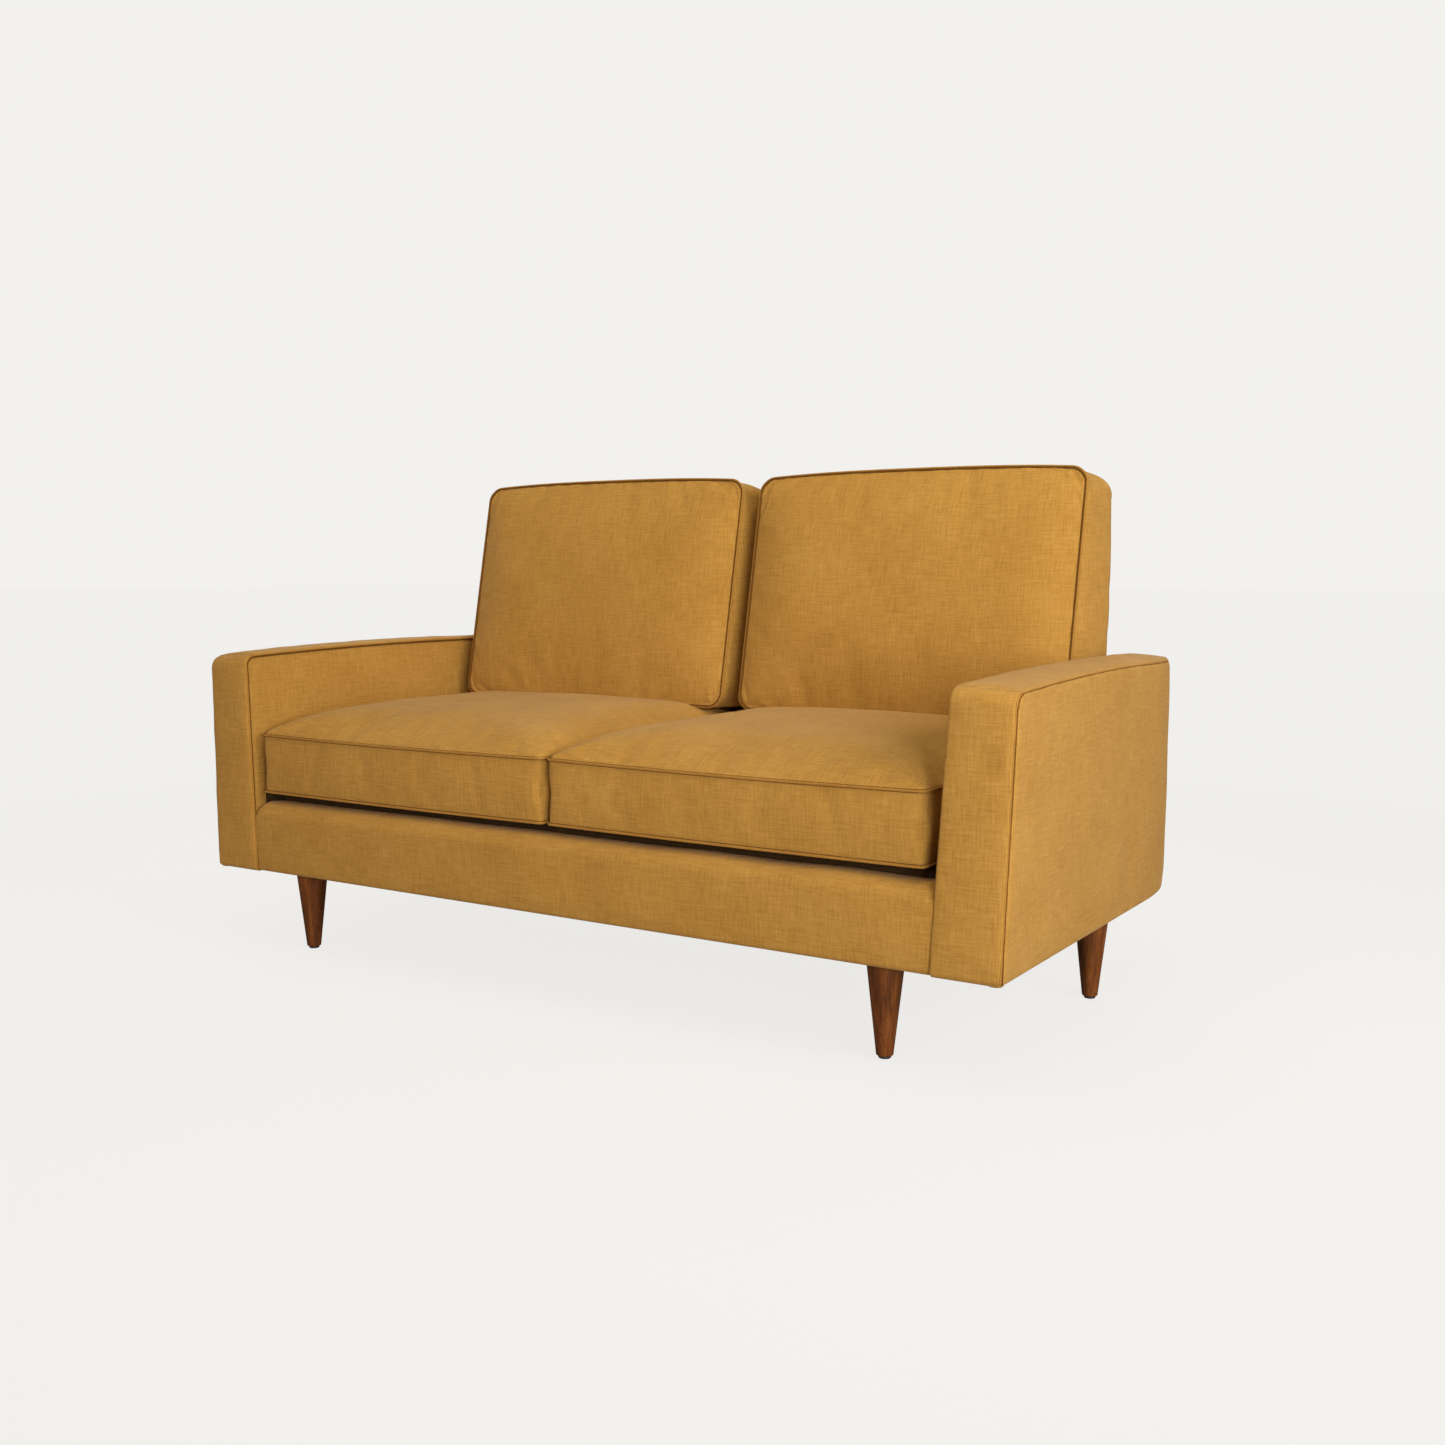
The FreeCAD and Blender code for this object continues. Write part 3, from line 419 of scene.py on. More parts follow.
def woven(name, dark, base, light, pitch, relief, roughness=0.85, sheen=0.25, contrast=1.0):
    """Plain weave of slubby yarn: painted shade in the gaps between threads and a faint painted highlight on their
    crowns, uneven threads both ways, and a broad mottle.
    """
    g = Graph(name)
    place = g.place()
    across, along = g.flat_coordinates()
    sway = g.noise(place, 0.02 / pitch, 2.0) - 0.5
    p = across * (1 / pitch) + sway * 1.8
    q = along * (1 / pitch) + sway * -1.8
    wave_p, wave_q = (g.math("SINE", thread * math.pi) for thread in (p, q))
    crossing = wave_p * wave_q

    def slub(fine, long, seed):
        """Yarn unevenness: thin across the thread, drawn out along it, for each direction."""
        return [g.noise(g.vector(p * a, q * b, seed), 1.0, 2.0, 0.6) for a, b in ((fine, long), (long, fine))]

    warp_slub, weft_slub = slub(0.8, 0.045, 3.0)
    warp_band, weft_band = slub(0.34, 0.024, 11.0)
    warp = (g.math("ABSOLUTE", wave_p) + crossing) * g.span(warp_slub, 0.3, 0.7, 0.36, 0.62)
    weft = (g.math("ABSOLUTE", wave_q) - crossing) * g.span(weft_slub, 0.3, 0.7, 0.36, 0.62)
    height = g.math("MAXIMUM", warp, weft)
    fibre = g.noise(place, 1.6 / pitch, 3.0, 0.75)
    tone = (g.noise(place, 9.0, 3.0) - 0.5) * 0.4
    for layer, weight in ((warp_slub, 0.8), (weft_slub, 0.8), (warp_band, 0.6), (weft_band, 0.55), (fibre, 1.0)):
        tone = tone + (layer - 0.5) * (weight * contrast)
    colour = g.ramp(tone + 0.5, (0.0, dark), (0.5, base), (1.0, light))
    # colour scaled by thread height: painted shade in the gaps, a faint painted highlight on the thread crowns
    painted_gap_shade = g.span(height, 0.0, 0.75, 0.55, 1.08)
    return g.set(
        Base_Color=g.mix(1.0, colour, g.vector(painted_gap_shade, painted_gap_shade, painted_gap_shade), "MULTIPLY"),
        Roughness=g.span(height, 0.0, 1.0, min(1.0, roughness + 0.12), roughness),
        Normal=g.bump(height + fibre * 0.25, relief, 0.8),
        Sheen_Weight=sheen,
        Sheen_Roughness=0.45,
        Sheen_Tint=(1.0, 0.88, 0.66, 1.0),
        Specular_IOR_Level=0.12,
    )


def timber(name, dark, base, light, axis, roughness, coat, coarse=1.0):
    """Straight-grained wood: rings and pores drawn out along one axis."""
    g = Graph(name)
    place = g.place()
    grain = g.vector(*[part * ((6.0 if k == axis else 95.0) / coarse) for k, part in enumerate(g.split(place))])
    sway = g.noise(place, 9.0, 2.0)
    lines = g.noise(grain, 1.0, 5.0, 0.62)
    fine = g.noise(grain, 5.0, 3.0, 0.7)
    broad = g.noise(grain, 0.22, 2.0)
    tone = lines * 0.75 + broad * 0.35 + (sway - 0.5) * 0.25
    pores = g.span(fine, 0.30, 0.42, 0.0, 1.0)
    colour = g.ramp(tone, (0.32, dark), (0.55, base), (0.78, light))
    return g.set(
        Base_Color=g.mix(1.0 - pores, colour, (*[0.45 * c for c in dark], 1)),
        Roughness=g.span(fine, 0.3, 0.7, min(1.0, roughness + 0.14), roughness),
        Normal=g.bump(pores + lines * 0.5, 0.12 * MM, 0.5),
        Coat_Weight=coat,
        Coat_Roughness=0.3,
        Specular_IOR_Level=0.2,
    )


def metal(name, colour, roughness, spangle):
    """Plated or drawn steel: a faint crystalline or drawn pattern and uneven gloss."""
    g = Graph(name)
    place = g.place()
    patch = g.noise(place, spangle * 0.4, 4.0, 0.6)
    tint = g.cells(place, spangle) * 0.35 + patch * 0.6
    return g.set(
        Base_Color=g.ramp(tint, (0.2, tuple(0.62 * c for c in colour)), (0.75, colour)),
        Metallic=1.0,
        Roughness=g.span(patch, 0.3, 0.7, roughness, roughness + 0.2),
        Normal=g.bump(patch, 0.05 * MM, 0.4),
    )


def foam(name):
    """Open-cell foam: small round pores, darkened as painted shade, in a pale yellow sponge."""
    g = Graph(name)
    place = g.place()
    pores = g.span(g.cells(place, 420.0), 0.15, 0.6, 0.0, 1.0)
    # darker towards each pore's middle: painted shade in the hollows
    colour = g.ramp(pores, (0.0, (0.50, 0.42, 0.24)), (0.6, (0.80, 0.73, 0.52)), (1.0, (0.86, 0.80, 0.62)))
    aged = g.span(g.noise(place, 14.0, 3.0), 0.4, 0.7, 0.0, 0.25)
    return g.set(Base_Color=g.mix(aged, colour, (0.72, 0.60, 0.34, 1)), Roughness=0.95,
                 Normal=g.bump(pores, 0.7 * MM, 0.7), Specular_IOR_Level=0.1)


def spunbond(name, colour):
    """Thin non-woven cloth with rows of small welded dimples."""
    g = Graph(name)
    p, q = (g.math("SINE", part * (2 * math.pi / (2.4 * MM))) for part in g.flat_coordinates())
    dimple = g.span(p * q, 0.2, 0.8, 1.0, 0.0)
    fibres = g.noise(g.place(), 420.0, 4.0, 0.7)
    tone = dimple * g.span(fibres, 0.3, 0.7, 0.7, 1.3)
    return g.set(Base_Color=g.ramp(tone, (0.0, tuple(0.5 * c for c in colour)), (1.0, colour)),
                 Roughness=0.8, Normal=g.bump(dimple + fibres, 0.2 * MM, 0.6))


def moulded(name, colour):
    """Moulded plastic with a fine etched texture."""
    g = Graph(name)
    scuffs = g.noise(g.place(), 60.0, 4.0, 0.7)
    return g.set(Base_Color=g.ramp(scuffs, (0.35, colour), (0.75, tuple(1.8 * c for c in colour))),
                 Roughness=g.span(scuffs, 0.3, 0.7, 0.4, 0.6),
                 Normal=g.bump(g.noise(g.place(), 900.0, 2.0), 0.08 * MM, 0.5))


FABRIC = woven(
    "mustard_linen", dark=(0.33, 0.155, 0.026), base=(0.475, 0.253, 0.050), light=(0.615, 0.364, 0.096),
    pitch=1.5 * MM, relief=0.30 * MM, sheen=0.14, contrast=0.70)
# the self-welts' cloth, darker than the linen it is cut from: painted shade
WELT_FABRIC_PAINTED_SHADE = woven(
    "mustard_welt_painted_shade", dark=(0.28, 0.132, 0.022), base=(0.40, 0.200, 0.037), light=(0.50, 0.275, 0.066),
    pitch=1.2 * MM, relief=0.25 * MM, sheen=0.08, contrast=0.5)
# near-black cloth for the tube under each welt: painted shadow of the seam groove
SEAM_PAINTED_SHADE = woven(
    "seam_painted_shade", dark=(0.095, 0.038, 0.006), base=(0.155, 0.066, 0.011), light=(0.22, 0.100, 0.020),
    pitch=1.2 * MM, relief=0.25 * MM, sheen=0.0, contrast=0.5)
# the deck lining: near-black brown, partly its own colour and partly painted shade of the gap under the cushions
LINING_WITH_PAINTED_SHADE = woven(
    "deck_lining", dark=(0.030, 0.015, 0.005), base=(0.058, 0.030, 0.010), light=(0.095, 0.052, 0.020),
    pitch=1.1 * MM, relief=0.2 * MM, sheen=0.1)
JUTE = woven(
    "jute_webbing", dark=(0.22, 0.15, 0.08), base=(0.46, 0.35, 0.20), light=(0.62, 0.50, 0.32),
    pitch=2.6 * MM, relief=0.7 * MM, sheen=0.1)
WALNUT = timber(
    "walnut_satin", dark=(0.030, 0.0098, 0.0026), base=(0.146, 0.042, 0.0064), light=(0.29, 0.098, 0.018),
    axis=2, roughness=0.5, coat=0.02)
HARDWOOD = [
    timber(f"frame_hardwood_{'xyz'[axis]}", dark=(0.36, 0.22, 0.11), base=(0.56, 0.38, 0.21),
           light=(0.70, 0.52, 0.33), axis=axis, roughness=0.62, coat=0.0, coarse=1.6)
    for axis in range(3)
]
SPRING_STEEL = metal("spring_steel", (0.36, 0.36, 0.37), 0.32, 260.0)
ZINC = metal("zinc_plate", (0.72, 0.73, 0.75), 0.30, 160.0)
FOAM = foam("foam")
DUST_CLOTH = spunbond("dust_cloth", (0.030, 0.029, 0.028))
PLASTIC = moulded("glide_plastic", (0.018, 0.018, 0.018))


# ------------------------------------------------------------------------------------ arms

def arm_plan(z, inset):
    """Plan outline of the right arm at heights z: the outer face, the rounded rear corner,
    the rear, and a short return on the inside. Rows follow z, columns follow the outline."""
    z, inset = np.asarray(z, float)[:, None], np.asarray(inset, float)[:, None]
    rise = (z - BASE) / (ARM_TOP - BASE)
    right, rear = outer_x(z) - inset, rear_y(z) - inset
    front, left = front_y(z), inner_x(z) + inset
    wide, deep = (foot + (head - foot) * np.clip(rise, 0, 1) ** 1.5 - inset
                  for foot, head in zip(CORNER_FOOT, CORNER_HEAD))
    small = np.maximum(INNER_CORNER - inset, 3 * MM)
    outer_turn, inner_turn = (np.linspace(0, math.pi / 2, count)[None, :-1] for count in (22, 5))
    outer_run, rear_run, back_run = graded(1.0, 50, 0.75)[:-1], np.linspace(0, 1, 10)[:-1], np.linspace(0, 1, 7)
    parts = [
        (right + 0 * outer_run, front + (rear - deep - front) * outer_run),
        (right - wide + wide * np.cos(outer_turn), rear - deep + deep * np.sin(outer_turn)),
        (right - wide + (left + small - right + wide) * rear_run, rear + 0 * rear_run),
        (left + small - small * np.sin(inner_turn), rear - small + small * np.cos(inner_turn)),
        (left + 0 * back_run, rear - small - 42 * MM * back_run),
    ]
    return np.hstack([x for x, y in parts]), np.hstack([y for x, y in parts])


def under_turn(reach):
    """Insets and heights of rows that come from under the body and turn up its side."""
    angle = np.linspace(0, math.pi / 2, 6)[1:]
    insets = np.concatenate([[reach, 0.6 * reach, UNDER_ROLL], UNDER_ROLL * (1 - np.sin(angle))])
    return insets, np.concatenate([np.zeros(3), UNDER_ROLL * (1 - np.cos(angle))])


def arm_outer_cover(side_name, side):
    """Outer face, rounded rear corner and rear of an arm, in one piece of fabric."""
    turn_inset, turn_height = under_turn(15 * MM)
    rise = graded(1.0, 46, 0.7)[1:]
    insets = np.concatenate([turn_inset, 0 * rise])
    foot = BASE + UNDER_ROLL
    heights = np.concatenate([BASE + turn_height, foot + (ARM_TOP - foot) * rise])
    x, y = arm_plan(heights, insets)
    z = np.repeat(heights[:, None], x.shape[1], axis=1)
    top = arm_top_z(x[-1], y[-1])
    above = np.clip((z - foot) / (ARM_TOP - foot), 0, 1)
    z = z + above * (top - ARM_TOP)
    on_face = x > outer_x(z) - insets[:, None] - 1e-6
    bent_front, bent_top = round_corner(y - front_y(z), top - z, ARM_EDGE)
    y = np.where(on_face, front_y(z) + bent_front, y)
    z = np.where(on_face, top - bent_top, z)
    points = grid(x, y, z)
    along = run_along(points[len(turn_inset)])
    from_top = np.maximum(top - z, 0)
    from_front = np.where(on_face, y - front_y(z), along)
    middle = np.sin(math.pi * np.clip(along / OUTER_CROWN, 0, 1)) * np.sin(math.pi * above)
    lift = 2.0 * MM * seam_dip(np.minimum(from_top, from_front)) * (above > 0) + 2.5 * MM * middle
    lift = lift + 0.5 * MM * swell(along, z, 130 * MM, 11) * seam_dip(np.minimum(from_top, from_front), 25 * MM)
    edges = [(from_top, along), (from_front, z)]
    lift = lift + 0.30 * MM * puckers(edges, 17 * MM, 16 * MM, 12) * seam_dip(
        np.minimum(from_top, from_front), 2 * MM)
    lift = lift * np.clip(above * 12, 0, 1)
    points = points + outward(points, (1, 0, 0), (20, 20)) * lift[..., None]
    panel(f"arm_outer_cover_{side_name}", points, [f"arm_outer_panel_{side_name}"], side, side > 0)


def arm_front_cover(side_name, side):
    """Front strip of an arm, from under the body up to the seam at the turn into the top."""
    turn_inset, turn_height = under_turn(13 * MM)
    across = graded(1.0, 22, 0.75)[None, :]
    top = arm_top_z(inner_x(ARM_TOP) + (outer_x(ARM_TOP) - inner_x(ARM_TOP)) * across, FRONT + FRONT_RAKE)
    foot, straight_top = BASE + UNDER_ROLL, top - ARM_EDGE
    z_face = foot + (straight_top - foot) * graded(1.0, 44, 0.6)[1:, None]
    angle = np.linspace(0, FRONT_TURN, 9)[1:, None]
    z = np.vstack([BASE + turn_height[:, None] + 0 * across, z_face, straight_top + ARM_EDGE * np.sin(angle)])
    y = np.vstack([front_y(BASE) + turn_inset[:, None] + 0 * across, front_y(z_face),
                   front_y(ARM_TOP) + ARM_EDGE * (1 - np.cos(angle)) + 0 * across])
    height = np.minimum(z, ARM_TOP)
    x = inner_x(height) + (outer_x(height) - inner_x(height)) * across
    points = grid(x, y, z)
    from_inner, from_outer = x - inner_x(height), outer_x(height) - x
    dip = seam_dip(np.minimum(from_inner, from_outer))
    above = np.clip((z - foot) / (ARM_TOP - BASE), 0, 1)
    lift = 1.8 * MM * dip + 1.5 * MM * np.sin(math.pi * across)
    lift = lift + 0.35 * MM * puckers([(from_inner, z), (from_outer, z)], 15 * MM, 14 * MM, 31) * dip
    lift = lift + 0.5 * MM * swell(x, z, 90 * MM, 33)
    lift = lift * np.clip(above * 12, 0, 1) * seam_dip(np.maximum(top - z, 0) + 1 * MM, 3 * MM)
    points = points + outward(points, (0, -1, 0)) * lift[..., None]
    panel(f"arm_front_cover_{side_name}", points, [f"arm_front_panel_{side_name}"], side, side > 0)


def arm_top_cover(side_name, side):
    """Crowned top strip of an arm, its rear corners rounded in plan like the faces below."""
    start = front_y(ARM_TOP) + ARM_EDGE * (1 - math.cos(FRONT_TURN))
    across = graded(1.0, 24, 0.7)[None, :]
    back = rear_y(ARM_TOP)
    y = start + graded(back - start, 76, 0.75)[:, None]
    width = outer_x(ARM_TOP) - inner_x(ARM_TOP)
    outer_edge, inner_edge = width * (1 - across), width * across
    wide, deep = CORNER_HEAD
    from_outer, from_rear = round_corner(outer_edge, (back - y) * wide / deep, wide)
    from_inner, from_rear = round_corner(width - from_outer, from_rear * deep / wide, INNER_CORNER)
    x, y = inner_x(ARM_TOP) + from_inner, back - from_rear
    z = arm_top_z(x, y)
    dip = seam_dip(np.minimum(np.minimum(outer_edge, inner_edge), from_rear))
    lift = 1.6 * MM * dip + 3.5 * MM * np.sin(math.pi * across) * np.clip(from_rear / (60 * MM), 0, 1)
    lift = lift + 0.35 * MM * puckers([(outer_edge, y), (inner_edge, y)], 16 * MM, 14 * MM, 41) * dip
    lift = lift + 0.5 * MM * swell(x, y, 110 * MM, 43)
    lift = lift * seam_dip(y - start + 1 * MM, 4 * MM)
    panel(f"arm_top_cover_{side_name}", grid(x, y, z + lift), [f"arm_top_panel_{side_name}"], side, side > 0)


def arm_inner_cover(side_name, side):
    """Inside face of an arm, from below the seat cushion up to the inner top seam."""
    foot = RAIL_HIGH.z - 26 * MM
    back = rear_y(ARM_TOP) - INNER_CORNER
    run = graded(1.0, 72, 0.75)[None, :]
    rise = graded(1.0, 34, 0.6)[:, None]
    front = front_y(foot + (ARM_TOP - foot) * rise)
    y = front + (back - front) * run
    top = arm_top_z(inner_x(ARM_TOP), y)
    z = foot + (top - foot) * rise
    from_front, from_top = round_corner(y - front_y(z), top - z, ARM_EDGE)
    y, z = front_y(z) + from_front, top - from_top
    points = grid(inner_x(z), y, z)
    dip = seam_dip(np.minimum(from_front, from_top))
    lift = 2.4 * MM * dip + 2.5 * MM * np.sin(math.pi * run) * np.sin(math.pi * rise)
    lift = lift + 0.32 * MM * puckers([(from_front, z), (from_top, y)], 16 * MM, 15 * MM, 51) * dip
    lift = lift + 0.5 * MM * swell(y, z, 120 * MM, 53) * seam_dip(np.minimum(from_front, from_top), 25 * MM)
    points = points + outward(points, (-1, 0, 0)) * lift[..., None]
    obj = panel(f"arm_inner_cover_{side_name}", points, [f"arm_inner_panel_{side_name}"], side, side > 0)
    obj.data.materials.append(LINING_WITH_PAINTED_SHADE)
    for face in obj.data.polygons:   # painted shade: the faces below the seat cushion's foot get the dark lining
        if face.center.z < DECK_HIGH.z + 6 * MM and face.center.y > FRONT + 30 * MM:
            face.material_index = 1


def arm_seam(x_at, ends_at):
    """The seam up an arm's front, round the turn and back along its top to Y ends_at."""
    x = x_at(ARM_TOP)
    z = BASE + np.linspace(0, 1, 110) * (arm_top_z(x, FRONT) - ARM_EDGE - BASE)
    centre_y = front_y(ARM_TOP) + ARM_EDGE
    angle = np.linspace(0, math.pi / 2, 12)[1:]
    turn_y = centre_y - ARM_EDGE * np.cos(angle)
    top_y = np.linspace(centre_y, ends_at, 200)[1:]
    return np.concatenate([
        grid(x_at(z), front_y(z), z),
        grid(x, turn_y, arm_top_z(x, turn_y) - ARM_EDGE * (1 - np.sin(angle))),
        grid(x, top_y, arm_top_z(x, top_y)),
    ])


def arm_welts(side_name, side):
    """Self-welts on both seams of an arm; the outer one carries on round the rear corner."""
    back = rear_y(ARM_TOP)
    (x,), (y,) = arm_plan([ARM_TOP], [0.0])
    rear = (y > back - CORNER_HEAD[1] + 1 * MM) & (x > inner_x(ARM_TOP) + 1 * MM)
    rear_part = grid(x[rear], y[rear], arm_top_z(x[rear], y[rear]))
    outer = np.concatenate([arm_seam(outer_x, back - CORNER_HEAD[1]), rear_part])
    inner = arm_seam(inner_x, back - 60 * MM)
    heart_x = 0.5 * (inner_x(ARM_TOP) + outer_x(ARM_TOP))
    mirror = np.array((side, 1, 1))
    # shift sets the dark tube of painted groove shadow off to one side of each seam
    for kind, path, shift in (("outer", outer, 2.3 * MM), ("inner", inner, -1.3 * MM)):
        name = f"arm_{kind}_welt_{side_name}"
        heart_y = np.clip(path[:, 1], FRONT + 55 * MM, back - 55 * MM)
        heart = grid(heart_x, heart_y, np.clip(path[:, 2], BASE, ARM_TOP - 55 * MM))
        lean = np.array((side * shift, 0, 0))
        welt(name, "sofa", path * mirror, unit(path - heart) * mirror, 1.1, lean, seed=61)


# -------------------------------------------------------------------------------- rail and deck

def rail_cover():
    """Padded front rail: turned under at the foot, rolled over at the top, rounded at both ends."""
    roll, end_round, lip = 24 * MM, 26 * MM, RAIL_HIGH.y - RAIL_LOW.y - 4 * MM
    turn_inset, turn_height = under_turn(11 * MM)
    half = inner_x(RAIL_HIGH.z) - 0.6 * MM
    along = graded(2 * half, 150, 0.85)[None, :] - half
    end = half - np.abs(along)
    drop = end_round - np.sqrt(np.maximum(end_round ** 2 - np.clip(end_round - end, 0, None) ** 2, 0))
    top = RAIL_HIGH.z - 4 * MM - drop
    foot, crest, face_y = BASE + UNDER_ROLL, top - 2 * MM, RAIL_LOW.y
    z_face = foot + (crest - roll - foot) * graded(1.0, 22, 0.5)[1:, None]
    angle = np.linspace(0, math.pi / 2, 12)[1:, None]
    depth = np.linspace(0, 1, 8)[1:, None]
    z = np.vstack([BASE + turn_height[:, None] + 0 * along, z_face, crest - roll + roll * np.sin(angle),
                   crest - 3 * MM * depth])
    y = np.vstack([turn_inset[:, None] + 0 * along, 0 * z_face, roll * (1 - np.cos(angle)) + 0 * along,
                   roll + (lip - roll) * depth + 0 * along]) + face_y
    x = along * (inner_x(z) - 0.6 * MM) / half
    points = grid(x, y, z)
    above = np.clip((z - foot) / (RAIL_HIGH.z - BASE), 0, 1)
    lift = 2.5 * MM * seam_dip(end, 7 * MM) + 1.5 * MM * np.sin(math.pi * above)
    lift = lift * np.clip((top - z) / (20 * MM), 0, 1) + 0.8 * MM * swell(x, z, 190 * MM, 71)
    lift = lift + 0.35 * MM * puckers([(end, z)], 16 * MM, 18 * MM, 72)
    lift = (lift - 1.5 * MM) * np.clip(above * 10, 0, 1)
    points = points + outward(points, (0, -1, 0), (20, 75)) * lift[..., None]
    panel("front_rail_cover_soft", points, ["front_rail_cover"], thickness=4 * MM)


def deck():
    """The pad under the seat cushions: a lining whose near-black brown is partly its own colour, partly painted
    shade of the gap, with a stitched channel across it.
    """
    x = graded(DECK_HIGH.x - DECK_LOW.x, 90, 0.8)[None, :] + DECK_LOW.x
    y = graded(DECK_HIGH.y - DECK_LOW.y, 60, 0.8)[:, None] + DECK_LOW.y
    side, end = round_corner(np.minimum(x - DECK_LOW.x, DECK_HIGH.x - x),
                             np.minimum(y - DECK_LOW.y, DECK_HIGH.y - y), 18 * MM)
    x = np.where(x > 0, DECK_HIGH.x - side, DECK_LOW.x + side)
    y = np.where(y > 0.5 * (DECK_LOW.y + DECK_HIGH.y), DECK_HIGH.y - end, DECK_LOW.y + end)
    channel_y = DECK_LOW.y + 115 * MM
    roll = 9 * MM
    turned = np.clip(roll - np.minimum(side, end), 0, None)
    shoulder = roll - np.sqrt(np.maximum(roll ** 2 - turned ** 2, 0))
    top = DECK_HIGH.z - 0.8 * MM - shoulder - 3.5 * MM * np.exp(-np.abs(y - channel_y) / (7 * MM))
    top = top + 0.4 * MM * (swell(x, y, 150 * MM, 81) - 1.5)
    foot = DECK_LOW.z + 0.5 * MM + 0.5 * shoulder
    points, faces = two_sided(grid(x, y, top), grid(x, y, foot))
    rim = rim_loop(*x.shape)
    for a, b in zip(rim, rim[1:] + rim[:1]):
        faces.append([b, a, a + x.size, b + x.size])
    obj = mesh_object("deck_pad_soft", points, faces)
    finish_piece(obj, "sofa", LINING_WITH_PAINTED_SHADE, ["deck_pad", "deck_cloth"])
    stitches("deck_stitches", [(x_at, channel_y, DECK_HIGH.z - 4.4 * MM)
                               for x_at in np.linspace(DECK_LOW.x + 20 * MM, DECK_HIGH.x - 20 * MM, 260)])


def stitches(name, places, length=3.4 * MM, thick=0.45 * MM):
    """A row of small thread stitches along X, each a short bowed bead."""
    points, faces = [], []
    sides, rings = 5, 4
    t = np.arange(rings)[:, None] / (rings - 1)
    turn = 2 * math.pi * np.arange(sides) / sides
    bow = np.sin(math.pi * t)
    girth = thick * (0.45 + 0.55 * bow)
    bead = grid(length * (t - 0.5), girth * np.cos(turn), 0.5 * MM * bow + girth * np.sin(turn)).reshape(-1, 3)
    bead_faces = grid_faces(rings, sides, True)
    bead_faces += [list(range(sides))[::-1], list(range((rings - 1) * sides, rings * sides))]
    for number, place in enumerate(places):
        points.append(bead + place)
        faces += [[number * len(bead) + i for i in face] for face in bead_faces]
    return finish_piece(mesh_object(name, np.concatenate(points), faces), "sofa", JUTE)


def two_sided(first, second):
    """Points and faces of two grids of the same size that face away from each other."""
    faces = grid_faces(*first.shape[:2])
    count = first.shape[0] * first.shape[1]
    faces += [[i + count for i in face[::-1]] for face in faces]
    return np.concatenate([first.reshape(-1, 3), second.reshape(-1, 3)]), faces


def rim_loop(rows, columns):
    """Indices round the edge of a grid, in order."""
    index = np.arange(rows * columns).reshape(rows, columns)
    return (list(index[0, :-1]) + list(index[:-1, -1]) + list(index[-1, :0:-1]) + list(index[:0:-1, 0]))


# ------------------------------------------------------------------------------- the back

BACK_TURN = math.atan(BACK_SLOPE)
BACK_FOOT = Vector((0, back_y(BASE), BASE))
BACK_HALF_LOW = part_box("back_front_pad")[1].x
BACK_HALF_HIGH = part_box("back_top_boxing")[1].x
BACK_DEEP = 46 * MM
BACK_SHOULDER = 398 * MM
BACK_LENGTH = (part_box("back_front_pad")[1].z - BASE) / math.cos(BACK_TURN)
BACK_CORNER = 14 * MM   # radius of its top corners


def raked(x, depth, length):
    """A point of the raked back from its width, depth and length up the slope."""
    y = BACK_FOOT.y + depth * math.cos(BACK_TURN) + length * math.sin(BACK_TURN)
    z = BACK_FOOT.z - depth * math.sin(BACK_TURN) + length * math.cos(BACK_TURN)
    return grid(x, y, z)


def back_half(length):
    """Half the back's width at a length up the slope, with a soft step above the arms."""
    step = np.clip((length - BACK_SHOULDER + 2 * MM) / (9 * MM), 0, 1)
    low = BACK_HALF_LOW - IN_LEAN * (BACK_SHOULDER - np.minimum(length, BACK_SHOULDER)) / (ARM_TOP - BASE)
    return low + (BACK_HALF_HIGH - low) * step * step * (3 - 2 * step)


def back_panel(name, foot, depth, away, replaced, crown, thickness):
    """A wide soft panel of the back that follows the back's outline."""
    shoulder = np.linspace(BACK_SHOULDER - 2 * MM, BACK_SHOULDER + 7 * MM, 6)
    below = foot + graded(shoulder[0] - foot, 34, 0.4)[:-1]
    above = shoulder[-1] + graded(BACK_LENGTH - shoulder[-1], 26, 0.6)[1:]
    length = np.concatenate([below, shoulder, above])[:, None]
    t = graded(2.0, 110, 0.8)[None, :] - 1
    half = back_half(length)
    from_side, from_top = half * (1 - np.abs(t)), BACK_LENGTH - length
    side, top = round_corner(from_side, from_top, BACK_CORNER)
    x = np.sign(t) * (half - side)
    length = BACK_LENGTH - top
    middle = np.sin(0.5 * math.pi * (t + 1)) * np.sin(
        math.pi * np.clip((length - foot) / (BACK_LENGTH - foot), 0, 1))
    lift = 2.2 * MM * seam_dip(np.minimum(side, top)) + crown * middle
    lift = lift + 0.7 * MM * (swell(x, length, 170 * MM, 91) - 1)
    lift = lift + 0.3 * MM * puckers([(from_side, length), (from_top, x)], 17 * MM, 16 * MM, 93)
    panel(name, raked(x, depth + away * lift, length), replaced, flip=away > 0, thickness=thickness)


def back_edge():
    """Outline of the back from the step beside one arm, over the top, to the step beside the other.
    Rows are (x, length)."""
    half, top, corner = BACK_HALF_HIGH, BACK_LENGTH, BACK_CORNER
    step = BACK_SHOULDER + np.linspace(-14, 7, 22) * MM
    upright = np.linspace(step[-1], top - corner, 60)[:-1]
    turn = np.linspace(math.pi, math.pi / 2, 8)
    left = np.concatenate([
        np.stack([-back_half(step[:-1]), step[:-1]], axis=1),
        np.stack([0 * upright - half, upright], axis=1),
        np.stack([corner - half + corner * np.cos(turn), top - corner + corner * np.sin(turn)], axis=1),
    ])
    across = np.linspace(corner - half, half - corner, 180)[1:-1]
    return np.concatenate([left, np.stack([across, 0 * across + top], axis=1), left[::-1] * (-1, 1)])


